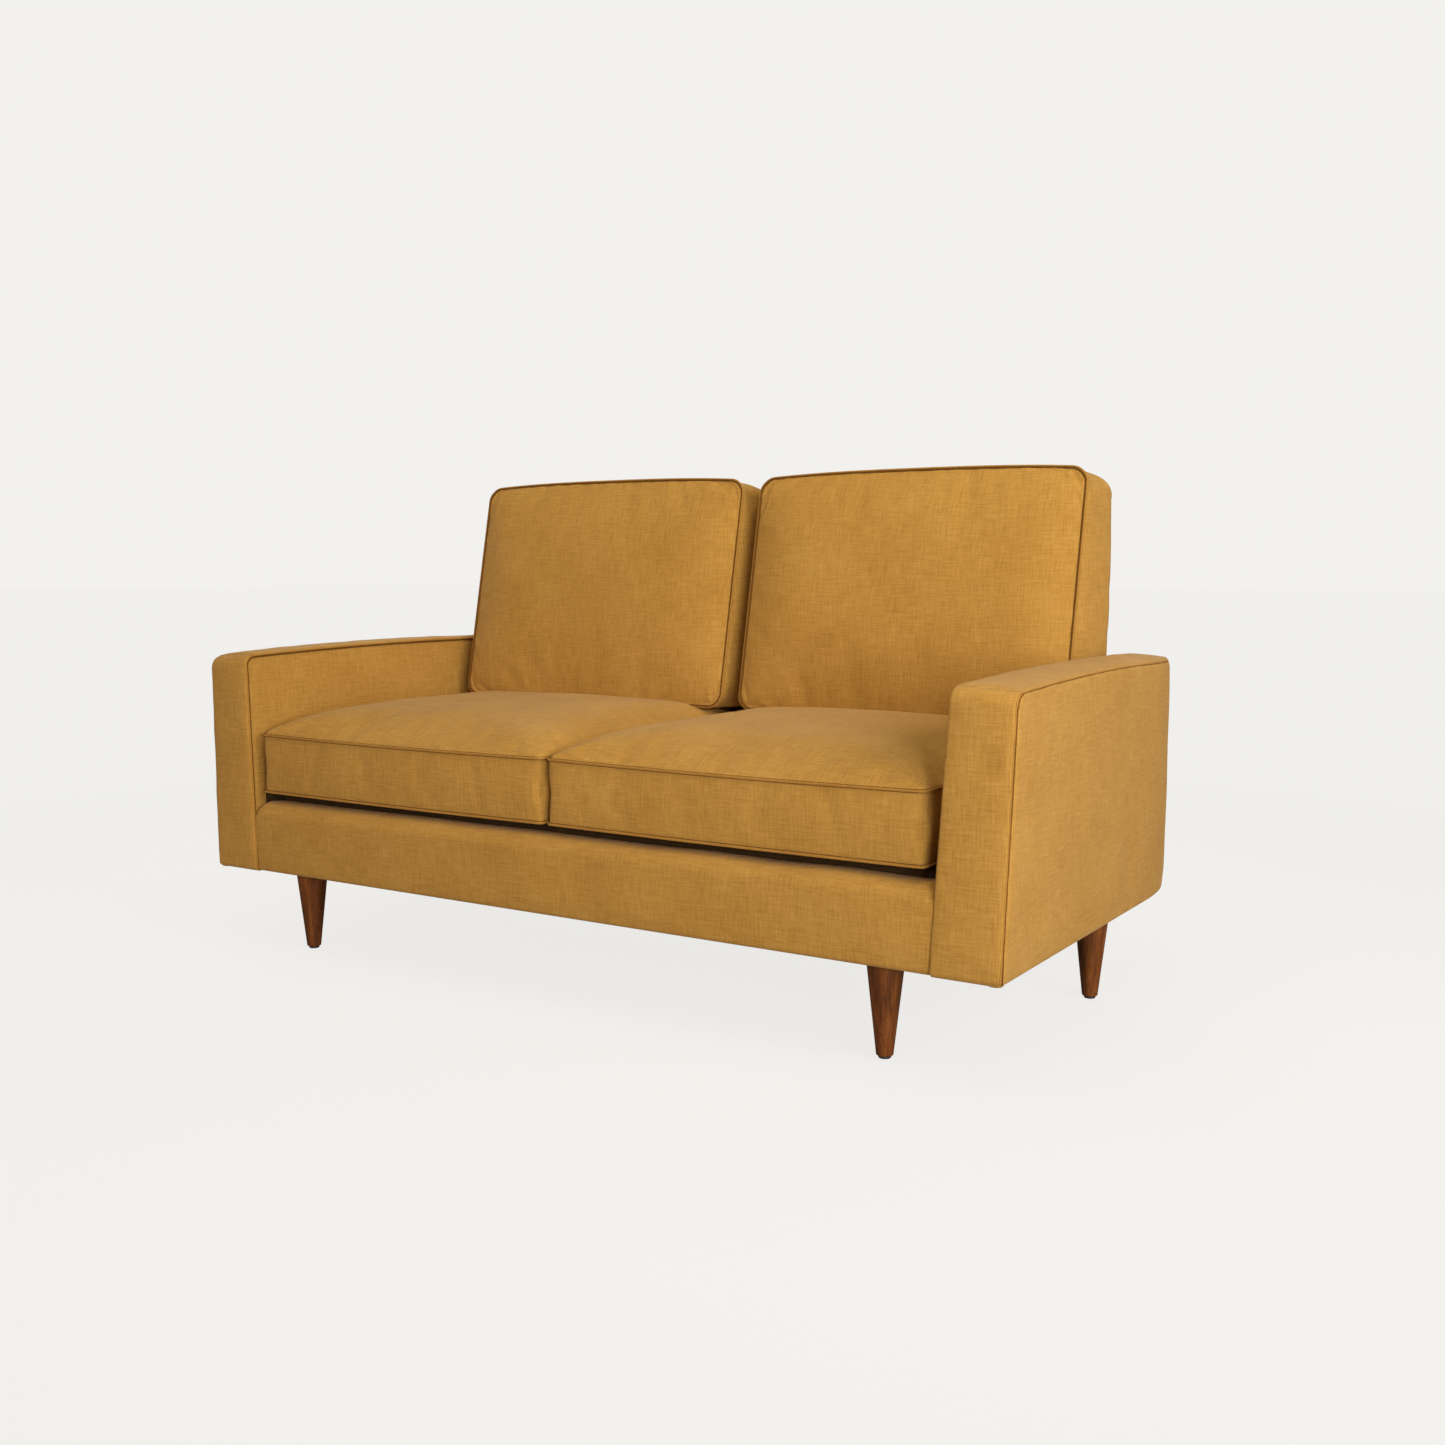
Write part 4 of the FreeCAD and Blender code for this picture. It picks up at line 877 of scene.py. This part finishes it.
def back():
    """Front and rear panels of the back, the boxing between them, and their welts."""
    back_panel("back_front_cover", 116 * MM, 0.5 * MM, -0.2, ["back_front_pad"], 0.0, 8 * MM)
    back_panel("back_rear_cover", BACK_DEEP * BACK_SLOPE, BACK_DEEP - 3 * MM, 1, ["back_rear_panel"],
               1.5 * MM, 5 * MM)
    outline = back_edge()
    along = unit(np.gradient(outline, axis=0))
    depth = np.linspace(0, BACK_DEEP, 9)[None, :]
    rise = 2.0 * MM * np.sin(math.pi * depth / BACK_DEEP)
    x, length = outline[:, :1] - along[:, 1:] * rise, outline[:, 1:] + along[:, :1] * rise
    replaced = ["back_top_boxing", "back_side_boxing_left", "back_side_boxing_right"]
    panel("back_edge_boxing", raked(x, depth, length), replaced, flip=False, thickness=4 * MM)
    for kind, depth in (("front", 0.6 * MM), ("rear", BACK_DEEP - 2.2 * MM)):
        path = raked(outline[:, 0], depth, outline[:, 1])
        welt(f"back_{kind}_welt", "sofa", path, unit(path - raked(0.0, depth, 0.5 * BACK_LENGTH)), seed=95)


# ------------------------------------------------------------------------- loose cushions

class Cushion:
    """A sewn cushion: a front or top panel, a boxing, and a rear or bottom panel.
    The first panel's seam is always welted; the second one's only when welted is set."""

    def __init__(self, kind, side_name, first, second, boxing, boxing_rows, welted):
        self.kind, self.side_name, self.welted = kind, side_name, welted
        self.name = f"{kind}_cushion_{side_name}"
        rim = rim_loop(*first.shape[:2])
        panels, faces = two_sided(first, second)
        total = len(panels) // 2
        self.first_seam, self.second_seam = rim, [i + total for i in rim]
        points, strips = [panels], [np.array(rim)]
        for k in range(1, boxing_rows):
            strips.append(np.arange(len(rim)) + 2 * total + (k - 1) * len(rim))
            points.append(boxing(panels[self.first_seam], panels[self.second_seam], k / boxing_rows))
        strips.append(np.array(self.second_seam))
        for upper, lower in zip(strips, strips[1:]):
            for a, b, c, d in zip(upper, np.roll(upper, -1), np.roll(lower, -1), lower):
                faces.append([int(b), int(a), int(d), int(c)])
        self.obj = mesh_object(self.name, np.concatenate(points), faces)
        self.caps = np.full((len(self.obj.data.vertices), 1), BOXING_CAP)
        self.caps[:total] = PANEL_CAP
        self.start = coordinates(self.obj).copy()

    def prepare(self, slack):
        """Sew: hold the seams and let the fabric between them fill."""
        group = self.obj.vertex_groups.new(name="seams")
        group.add([int(i) for i in self.first_seam + self.second_seam], 1.0, "REPLACE")
        cloth = self.obj.modifiers.new("cloth", "CLOTH")
        for key, value in CLOTH.items():
            setattr(cloth.settings, key, value)
        cloth.settings.shrink_min = -slack
        cloth.settings.effector_weights.gravity = 0
        cloth.collision_settings.use_collision = False
        cloth.point_cache.frame_start, cloth.point_cache.frame_end = 1, SIM_FRAMES

    def take(self):
        """Keep the simulated shape, but move no point further than about its cap."""
        evaluated = self.obj.evaluated_get(bpy.context.evaluated_depsgraph_get())
        filled = coordinates(evaluated).copy()
        self.obj.modifiers.clear()
        self.obj.vertex_groups.clear()
        move = filled - self.start
        far = np.linalg.norm(move, axis=1, keepdims=True)
        return self.start + move * (self.caps * np.tanh(far / self.caps) / np.maximum(far, 1e-9))

    def finish(self, points):
        """Flatten what rests on something, add a subdivision, the welts and the foam core, and ride."""
        cover, core = (f"{self.kind}_cushion_{part}_{self.side_name}" for part in ("cover", "core"))
        points[:, 2] = np.maximum(points[:, 2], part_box(cover)[0].z)
        if self.kind == "back":
            points[:, 1] = np.minimum(points[:, 1], back_y(points[:, 2]) - 1.2 * MM)
        set_coordinates(self.obj, points)
        faces = [list(polygon.vertices) for polygon in self.obj.data.polygons]
        subdivide = self.obj.modifiers.new("finer", "SUBSURF")
        subdivide.levels = subdivide.render_levels = 1
        apply_modifiers(self.obj)
        body = f"{self.kind}_{self.side_name}"
        finish_piece(self.obj, body, FABRIC, [cover])
        low, high = points.min(axis=0), points.max(axis=0)
        middle, size = (low + high) / 2, high - low
        core = mesh_object(core, middle + (points - middle) * (1 - 2 * FIBRE_WRAP / size), faces)
        finish_piece(core, body, FOAM, [f"{self.kind}_cushion_foam_{self.side_name}"])
        centre = points.mean(axis=0)
        seams = [("first", self.first_seam), ("second", self.second_seam)]
        for kind, seam in seams if self.welted else seams[:1]:
            path = refine(points[seam])
            welt(f"{self.name}_{kind}_welt", body, path, unit(path - centre), closed=True, seed=len(path))


def refine(loop, steps=3):
    """A closed line with points added between its own, on a smooth curve through them."""
    before, after, beyond = np.roll(loop, 1, axis=0), np.roll(loop, -1, axis=0), np.roll(loop, -2, axis=0)
    points = []
    for k in range(steps):
        t = k / steps
        points.append(0.5 * (
            2 * loop + (after - before) * t + (2 * before - 5 * loop + 4 * after - beyond) * t ** 2
            + (3 * loop - before - 3 * after + beyond) * t ** 3))
    return np.stack(points, axis=1).reshape(-1, 3)


def dome(from_side, from_end, radius, reach, power):
    """Height of a stuffed panel, 0 on its edge and 1 over its middle, from the distances to its sides.
    A higher power gives a steeper edge and a flatter middle."""
    p, q = radius - from_side, radius - from_end
    corner = np.hypot(np.maximum(p, 0), np.maximum(q, 0))
    depth = np.maximum(radius - corner - np.minimum(np.maximum(p, q), 0), 0)
    along_diagonal = np.exp(-((p - q) / (0.6 * depth + 6 * MM)) ** 2)
    depth = depth * (1 - 0.33 * along_diagonal)
    return np.maximum(1 - (1 - np.clip(depth / reach, 0, 1)) ** power, 0) ** 0.75


SIM_FRAMES = 20
PANEL_CAP, BOXING_CAP = 16 * MM, 4 * MM  # how far the simulation may move the fabric
FIBRE_WRAP = 12 * MM  # between a cushion's cover and its foam
CLOTH = {
    "quality": 5, "mass": 0.3, "air_damping": 5, "tension_stiffness": 14, "compression_stiffness": 14,
    "shear_stiffness": 5, "bending_stiffness": 0.35, "vertex_group_mass": "seams",
    "use_pressure": True, "uniform_pressure_force": 2.0,
}
SEAT_TOP_SEAM = 404 * MM
SEAT_FOOT_SEAM = 297 * MM
HEAD_FOOT_PRESS = 442.6 * MM  # height of a seat cushion under the back cushion
SEAT_SQUARE = 13 * MM  # corner radius of a seat cushion in plan
SEAT_CROWN, SEAT_FLATNESS = 46.5 * MM, 6.5  # height of its crown, and how flat that is in the middle
SEAT_PUSHED = {"left": (-10 * MM, -9 * MM), "right": (-9 * MM, -6 * MM)}  # both lie a little to the left


def press(z, y):
    """Flatten the rear of a seat cushion where the back cushion stands on it."""
    near = np.clip((y - 95 * MM) / (75 * MM), 0, 1)
    near = near * near * (3 - 2 * near)
    over = z - HEAD_FOOT_PRESS
    held = HEAD_FOOT_PRESS - 0.4 * MM + 0.4 * MM * np.tanh(over / (6 * MM))
    return np.where(over > -2 * MM, z + near * (np.minimum(z, held) - z), z)


def seat_cushion(side_name, side):
    """A box cushion with a crowned top, pressed flat at the rear under the back cushion."""
    low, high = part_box(f"seat_cushion_cover_{side_name}")
    low.x += SEAT_PUSHED[side_name][0]
    high.x += SEAT_PUSHED[side_name][1]
    u = graded(1.0, 64, 0.72)[None, :]
    v = u.T
    width, depth = high.x - low.x - 1 * MM, high.y - low.y - 2 * MM
    side_gap, end_gap = np.minimum(u, 1 - u) * width, np.minimum(v, 1 - v) * depth
    from_side, from_end = round_corner(side_gap, end_gap, SEAT_SQUARE)
    x = np.where(u < 0.5, low.x + from_side, high.x - from_side)
    y = np.where(v < 0.5, low.y + from_end, high.y - from_end)
    crown = dome(side_gap, end_gap, SEAT_SQUARE, 0.5 * width, SEAT_FLATNESS)
    sag = -2.5 * MM * np.sin(math.pi * u) * (1 - v) ** 4
    top = SEAT_TOP_SEAM + sag + SEAT_CROWN * crown + 1.2 * MM * swell(x, y, 210 * MM, 101 + side) * crown
    top = press(top, y)
    inwards = np.clip(np.minimum(from_side, from_end) / (45 * MM), 0, 1)
    foot = SEAT_FOOT_SEAM + sag * 0.4 - (SEAT_FOOT_SEAM - low.z) * inwards
    centre = np.array([[0.5 * (low.x + high.x), 0.5 * (low.y + high.y), 0.0]])

    def boxing(upper, lower, w):
        out = unit((upper - centre) * (1, 1, 0))
        gap = np.minimum(high.x - upper[:, 0], upper[:, 0] - low.x)
        bulge = (1.0 * MM + 1.0 * MM * np.clip(gap / (30 * MM), 0, 1)) * math.sin(math.pi * w)
        square = np.where(np.abs(out[:, :1]) * depth > np.abs(out[:, 1:2]) * width, (1, 0, 0), (0, 1, 0))
        return upper + (lower - upper) * w + np.sign(out) * square * bulge[:, None]

    return Cushion("seat", side_name, grid(x, y, top), grid(x, y, foot), boxing, 12, True)


HEAD_FRONT_FOOT = Vector((0, 165.5, 447)) * MM
HEAD_FRONT_TOP = Vector((0, 255.5, 897)) * MM
HEAD_REAR_TOP = 816 * MM
HEAD_ROUND = 28 * MM  # corner radius of a back cushion's front
HEAD_CROWN, HEAD_FLATNESS = 19 * MM, 2.6
HEAD_SEAM_IN = 7.5 * MM  # how far inside the cover's box the front seam runs
HEAD_DROOP = 8 * MM  # how far a back cushion's top corners hang below its middle


def back_cushion(side_name, side):
    """A wedge cushion that leans on the raked back, with rounded corners and bulging sides."""
    low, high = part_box(f"back_cushion_cover_{side_name}")
    u = graded(1.0, 60, 0.7)[None, :]
    v = u.T
    left, right = low.x + HEAD_SEAM_IN, high.x - HEAD_SEAM_IN
    width = right - left
    slope = (HEAD_FRONT_TOP - HEAD_FRONT_FOOT)
    tall = slope.length
    up = np.array(slope.normalized())
    into = np.array((0, up[2], -up[1]))
    side_gap, end_gap = np.minimum(u, 1 - u) * width, np.minimum(v, 1 - v) * tall
    from_side, from_end = round_corner(side_gap, end_gap, HEAD_ROUND)
    x = np.where(u < 0.5, left + from_side, right - from_side)
    droop = HEAD_DROOP * np.abs(2 * u - 1) ** 3 * v ** 3
    s = np.where(v < 0.5, from_end, tall - from_end) - droop
    crown = dome(side_gap, end_gap, HEAD_ROUND, 0.5 * tall, HEAD_FLATNESS)
    crown = HEAD_CROWN * crown + 1.0 * MM * swell(x, s, 190 * MM, 111 + side) * crown
    first = np.array(HEAD_FRONT_FOOT) + s[..., None] * up - crown[..., None] * into
    first[..., 0] = x
    inset, clear, rear_low = 5 * MM, 2.5 * MM, HEAD_FRONT_FOOT.z + 8 * MM
    from_side, from_end = round_corner(side_gap * (width - 2 * inset) / width,
                                       end_gap * (HEAD_REAR_TOP - rear_low) / tall, HEAD_ROUND + 10 * MM)
    x = np.where(u < 0.5, left + inset + from_side, right - inset - from_side)
    z = np.where(v < 0.5, rear_low + from_end, HEAD_REAR_TOP - from_end) - droop
    middle = np.array([0.5 * (left + right), 0.5 * (HEAD_FRONT_FOOT.y + HEAD_FRONT_TOP.y), 0.67])

    def boxing(front, rear, w):
        """Straight back from the front seam, then a rounded turn into the rear panel."""
        reach = np.linalg.norm((rear - front) * (0, 1, 1), axis=1, keepdims=True)
        out = front - middle
        out = unit(out - into * (out @ into)[:, None])
        sideways = np.abs(out[:, :1])
        edge = front + into * reach * (0.93 + 0.07 * sideways)
        edge[:, 1] = np.minimum(edge[:, 1], back_y(edge[:, 2]) - clear)
        straight = 0.45 + 0.41 * sideways
        bend = front + (edge - front) * straight
        even = 4 * MM * math.sin(math.pi * min(w / 0.95, 1.0)) ** 0.7
        low_down = np.clip((HEAD_FRONT_TOP.z - front[:, 2:]) / slope.z, 0, 1)
        outer_side = np.where(out[:, :1] * side > 0, 1.0, 0.75)
        flared = (21 * MM + 14 * MM * low_down) * outer_side * w ** 0.8 * math.sqrt(1 - w ** 8)
        t = np.clip((w - straight) / (1 - straight), 0, 1)
        turned = (1 - t) ** 2 * bend + 2 * t * (1 - t) * edge + t * t * rear
        place = np.where(w <= straight, front + (bend - front) * (w / straight), turned)
        return place + out * (even + (flared - even) * sideways)

    return Cushion("back", side_name, first, grid(x, back_y(z) - clear, z), boxing, 14, False)


def cushions():
    """Sew all four cushions, fill them together, and keep the result."""
    made = [seat_cushion(*side) for side in SIDES] + [back_cushion(*side) for side in SIDES]
    for cushion in made:
        cushion.prepare(slack=0.006 if cushion.kind == "seat" else 0.008)
    for number in range(1, SIM_FRAMES + 1):
        bpy.context.scene.frame_set(number)
    shapes = [cushion.take() for cushion in made]
    bpy.context.scene.frame_set(1)
    for cushion, points in zip(made, shapes):
        cushion.finish(points)


# ------------------------------------------------------------------- underside, frame and legs

LEG_PLATES = [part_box(f"leg_plate_{row}_{side_name}") for row in ("front", "rear") for side_name, _ in SIDES]


def dust_cover():
    """Black non-woven sheet stapled under the frame, sagging a little between its edges."""
    low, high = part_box("dust_cover")
    xs, ys = {low.x, high.x}, {low.y, high.y}
    for plate_low, plate_high in LEG_PLATES:
        xs |= {plate_low.x - 1 * MM, plate_high.x + 1 * MM}
        ys |= {max(plate_low.y - 1 * MM, low.y), plate_high.y + 1 * MM}
    x, y = np.meshgrid(fill_in(sorted(xs), 18 * MM), fill_in(sorted(ys), 18 * MM))
    edge = np.minimum(np.minimum(x - low.x, high.x - x), np.minimum(y - low.y, high.y - y))
    sag = 0.9 * MM * np.clip(edge / (150 * MM), 0, 1)
    ripple = 0.12 * MM * swell(x, y, 60 * MM, 121) * np.clip(edge / (20 * MM), 0, 1)
    kept = []
    for face in grid_faces(*x.shape):
        centre_x, centre_y = x.ravel()[face].mean(), y.ravel()[face].mean()
        if not any(a.x - 1 * MM < centre_x < b.x + 1 * MM and a.y - 1 * MM < centre_y < b.y + 1 * MM
                   for a, b in LEG_PLATES):
            kept.append(face)
    obj = mesh_object("dust_cover_sheet", grid(x, y, 0.5 * (low.z + high.z) - sag + ripple), kept)
    drop_loose(obj)
    thicken(obj, 0.5 * MM, 0)
    finish_piece(obj, "sofa", DUST_CLOTH, ["dust_cover"])


def fill_in(stops, step):
    """Numbers between the given ones, about a step apart."""
    filled = [stops[0]]
    for a, b in zip(stops, stops[1:]):
        count = max(1, round((b - a) / step))
        filled += [a + (b - a) * k / count for k in range(1, count + 1)]
    return filled


def drop_loose(obj):
    """Remove points that no face uses."""
    used = sorted({i for polygon in obj.data.polygons for i in polygon.vertices})
    renumber = {old: new for new, old in enumerate(used)}
    points = coordinates(obj)[used]
    faces = [[renumber[i] for i in polygon.vertices] for polygon in obj.data.polygons]
    old = obj.data
    obj.data = bpy.data.meshes.new(old.name)
    obj.data.from_pydata(points.tolist(), [], faces)
    bpy.data.meshes.remove(old)


def staples():
    """Crown staples that hold the dust cover, in rows along its edges."""
    low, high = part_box("dust_cover")
    margin, pitch, crown, wire = 9 * MM, 42 * MM, 10 * MM, 0.6 * MM
    z = low.z - 0.2 * MM
    places = []
    for y in (low.y + margin, high.y - margin):
        for x in np.arange(low.x + 30 * MM, high.x - 20 * MM, pitch):
            places.append((x, y, 0))
    for x in (low.x + margin, high.x - margin):
        for y in np.arange(low.y + 50 * MM, high.y - 30 * MM, pitch):
            places.append((x, y, 1))
    points, faces = [], []
    for x, y, turned in places:
        if near_plate(x, y):
            continue
        line = [(-crown / 2, 1.2 * MM), (-crown / 2, 0.0), (crown / 2, 0.0), (crown / 2, 1.2 * MM)]
        start = len(points)
        for along, up in line:
            for a, b in ((-wire, -wire), (wire, -wire), (wire, wire), (-wire, wire)):
                dx, dy = (along + (a if up else 0), b) if not turned else (b, along + (a if up else 0))
                points.append((x + dx, y + dy, z + up + (0 if up else a)))
        faces += [[start + i for i in face] for face in grid_faces(4, 4, True)]
        faces.append([start + j for j in (3, 2, 1, 0)])
        faces.append([start + 12 + j for j in range(4)])
    obj = mesh_object("dust_cover_staples", points, faces)
    return finish_piece(obj, "sofa", ZINC)


def near_plate(x, y, gap=9 * MM):
    """Whether a point lies on or beside a leg's plate."""
    return any(low.x - gap < x < high.x + gap and low.y - gap < y < high.y + gap for low, high in LEG_PLATES)


def paint_frame():
    """Give every CAD node that stays its own material."""
    for name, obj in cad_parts.items():
        low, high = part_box(name)
        size = high - low
        longest = max(range(3), key=lambda axis: size[axis])
        if name.startswith(("base_", "spring_rail", "corner_block", "arm_front_post", "arm_rear_post",
                            "arm_top_rail", "back_post", "back_top_rail", "back_lower_rails")):
            material = HARDWOOD[longest]
        elif name.startswith(("seat_springs", "spring_clips")):
            material = SPRING_STEEL
        elif name.startswith(("leg_plate", "leg_bolts", "plate_screws")):
            material = ZINC
        elif name == "leg_glides":
            material = PLASTIC
        elif name.startswith("leg_"):
            material = WALNUT
        elif name == "back_webbing":
            material = JUTE
        elif "foam" in name:
            material = FOAM
        else:
            material = FABRIC
        obj.data.materials.clear()
        obj.data.materials.append(material)


# ----------------------------------------------------------------------- stage and camera

def area_light(name, place, target, size, power, colour):
    """A rectangular lamp at place that shines towards target and isn't seen itself."""
    data = bpy.data.lights.new(name, "AREA")
    data.shape = "RECTANGLE"
    data.size, data.size_y = size
    data.energy, data.color = power, colour
    obj = bpy.data.objects.new(name, data)
    bpy.context.scene.collection.objects.link(obj)
    obj.visible_camera = False
    obj.location = place
    obj.rotation_euler = (Vector(target) - Vector(place)).to_track_quat("-Z", "Y").to_euler()


def stage():
    """Pale floor, soft lights, and the camera."""
    pale = (0.888, 0.879, 0.855, 1)
    g = Graph("pale_floor")
    reach = g.node("VectorMath", operation="LENGTH")
    g.put(reach.inputs[0], g.place())
    distance = Signal(g, reach.outputs["Value"])
    shadowed = g.span(distance, 1.3, 2.6, 0.085, 0.0)
    glow = g.fill(g.node("Emission"), {"Color": pale, "Strength": g.span(distance, 1.3, 3.0, 0.905, 0.985)})
    paint = g.fill(g.node("BsdfDiffuse"), {"Color": g.vector(shadowed, shadowed, shadowed)})
    lit = g.fill(g.node("BsdfDiffuse"), {"Color": (0.42, 0.40, 0.36, 1)})
    both = g.fill(g.node("AddShader"), {0: glow, 1: paint})
    seen = Signal(g, g.node("LightPath").outputs["Is Camera Ray"])
    g.put(g.tree.nodes["Material Output"].inputs[0], g.fill(g.node("MixShader"), {0: seen, 1: lit, 2: both}))
    floor = mesh_object("floor", [(-60, -60, 0), (60, -60, 0), (60, 60, 0), (-60, 60, 0)], [[0, 1, 2, 3]])
    floor.data.materials.append(g.material)

    world = bpy.data.worlds.new("studio")
    bpy.context.scene.world = world
    world.use_nodes = True
    nodes, links = world.node_tree.nodes, world.node_tree.links
    seen, cast = nodes["Background"], nodes.new("ShaderNodeBackground")
    seen.inputs["Color"].default_value = pale
    cast.inputs["Color"].default_value = (1.0, 0.93, 0.83, 1)
    cast.inputs["Strength"].default_value = 0.05
    ray, blend = nodes.new("ShaderNodeLightPath"), nodes.new("ShaderNodeMixShader")
    links.new(ray.outputs["Is Camera Ray"], blend.inputs[0])
    links.new(cast.outputs[0], blend.inputs[1])
    links.new(seen.outputs[0], blend.inputs[2])
    links.new(blend.outputs[0], nodes["World Output"].inputs[0])

    middle, back_part = (0.1, 0, 0.4), (0, 0.3, 0.45)
    area_light("side", (3.2, -0.8, 1.6), middle, (1.5, 1.3), 63, (1.0, 0.91, 0.91))
    area_light("low_front", (3.4, -3.0, 0.9), middle, (1.5, 1.3), 88, (0.97, 0.98, 0.93))
    area_light("front", (0.0, -3.6, 1.6), middle, (2.4, 1.8), 43, (1.0, 0.81, 0.76))
    area_light("overhead", (0.3, -0.4, 3.0), middle, (2.6, 2.0), 38, (1.0, 0.92, 0.62))
    area_light("rear", (-1.6, 3.4, 1.3), back_part, (2.4, 1.8), 90, (1.0, 0.96, 0.90))
    area_light("left", (-3.6, 0.4, 1.4), (-0.8, 0.1, 0.4), (1.8, 1.4), 28, (1.0, 0.96, 0.90))

    turn, rise = math.radians(32.73), math.radians(5.71)
    camera_distance = 2.705
    aim = Vector((0.1091, -0.0285, 0.4405))
    toward = Vector((math.sin(turn) * math.cos(rise), -math.cos(turn) * math.cos(rise), math.sin(rise)))
    data = bpy.data.cameras.new("camera")
    data.lens, data.sensor_width = 37.44, 36.0
    data.clip_end = 200
    camera = bpy.data.objects.new("camera", data)
    camera.location = aim + camera_distance * toward
    camera.rotation_euler = (-toward).to_track_quat("-Z", "Y").to_euler()
    bpy.context.scene.collection.objects.link(camera)
    bpy.context.scene.camera = camera
    bpy.context.scene.view_settings.view_transform = "Standard"


for side_pair in SIDES:
    arm_outer_cover(*side_pair)
    arm_front_cover(*side_pair)
    arm_top_cover(*side_pair)
    arm_inner_cover(*side_pair)
    arm_welts(*side_pair)
rail_cover()
deck()
back()
cushions()
dust_cover()
staples()
paint_frame()
stage()
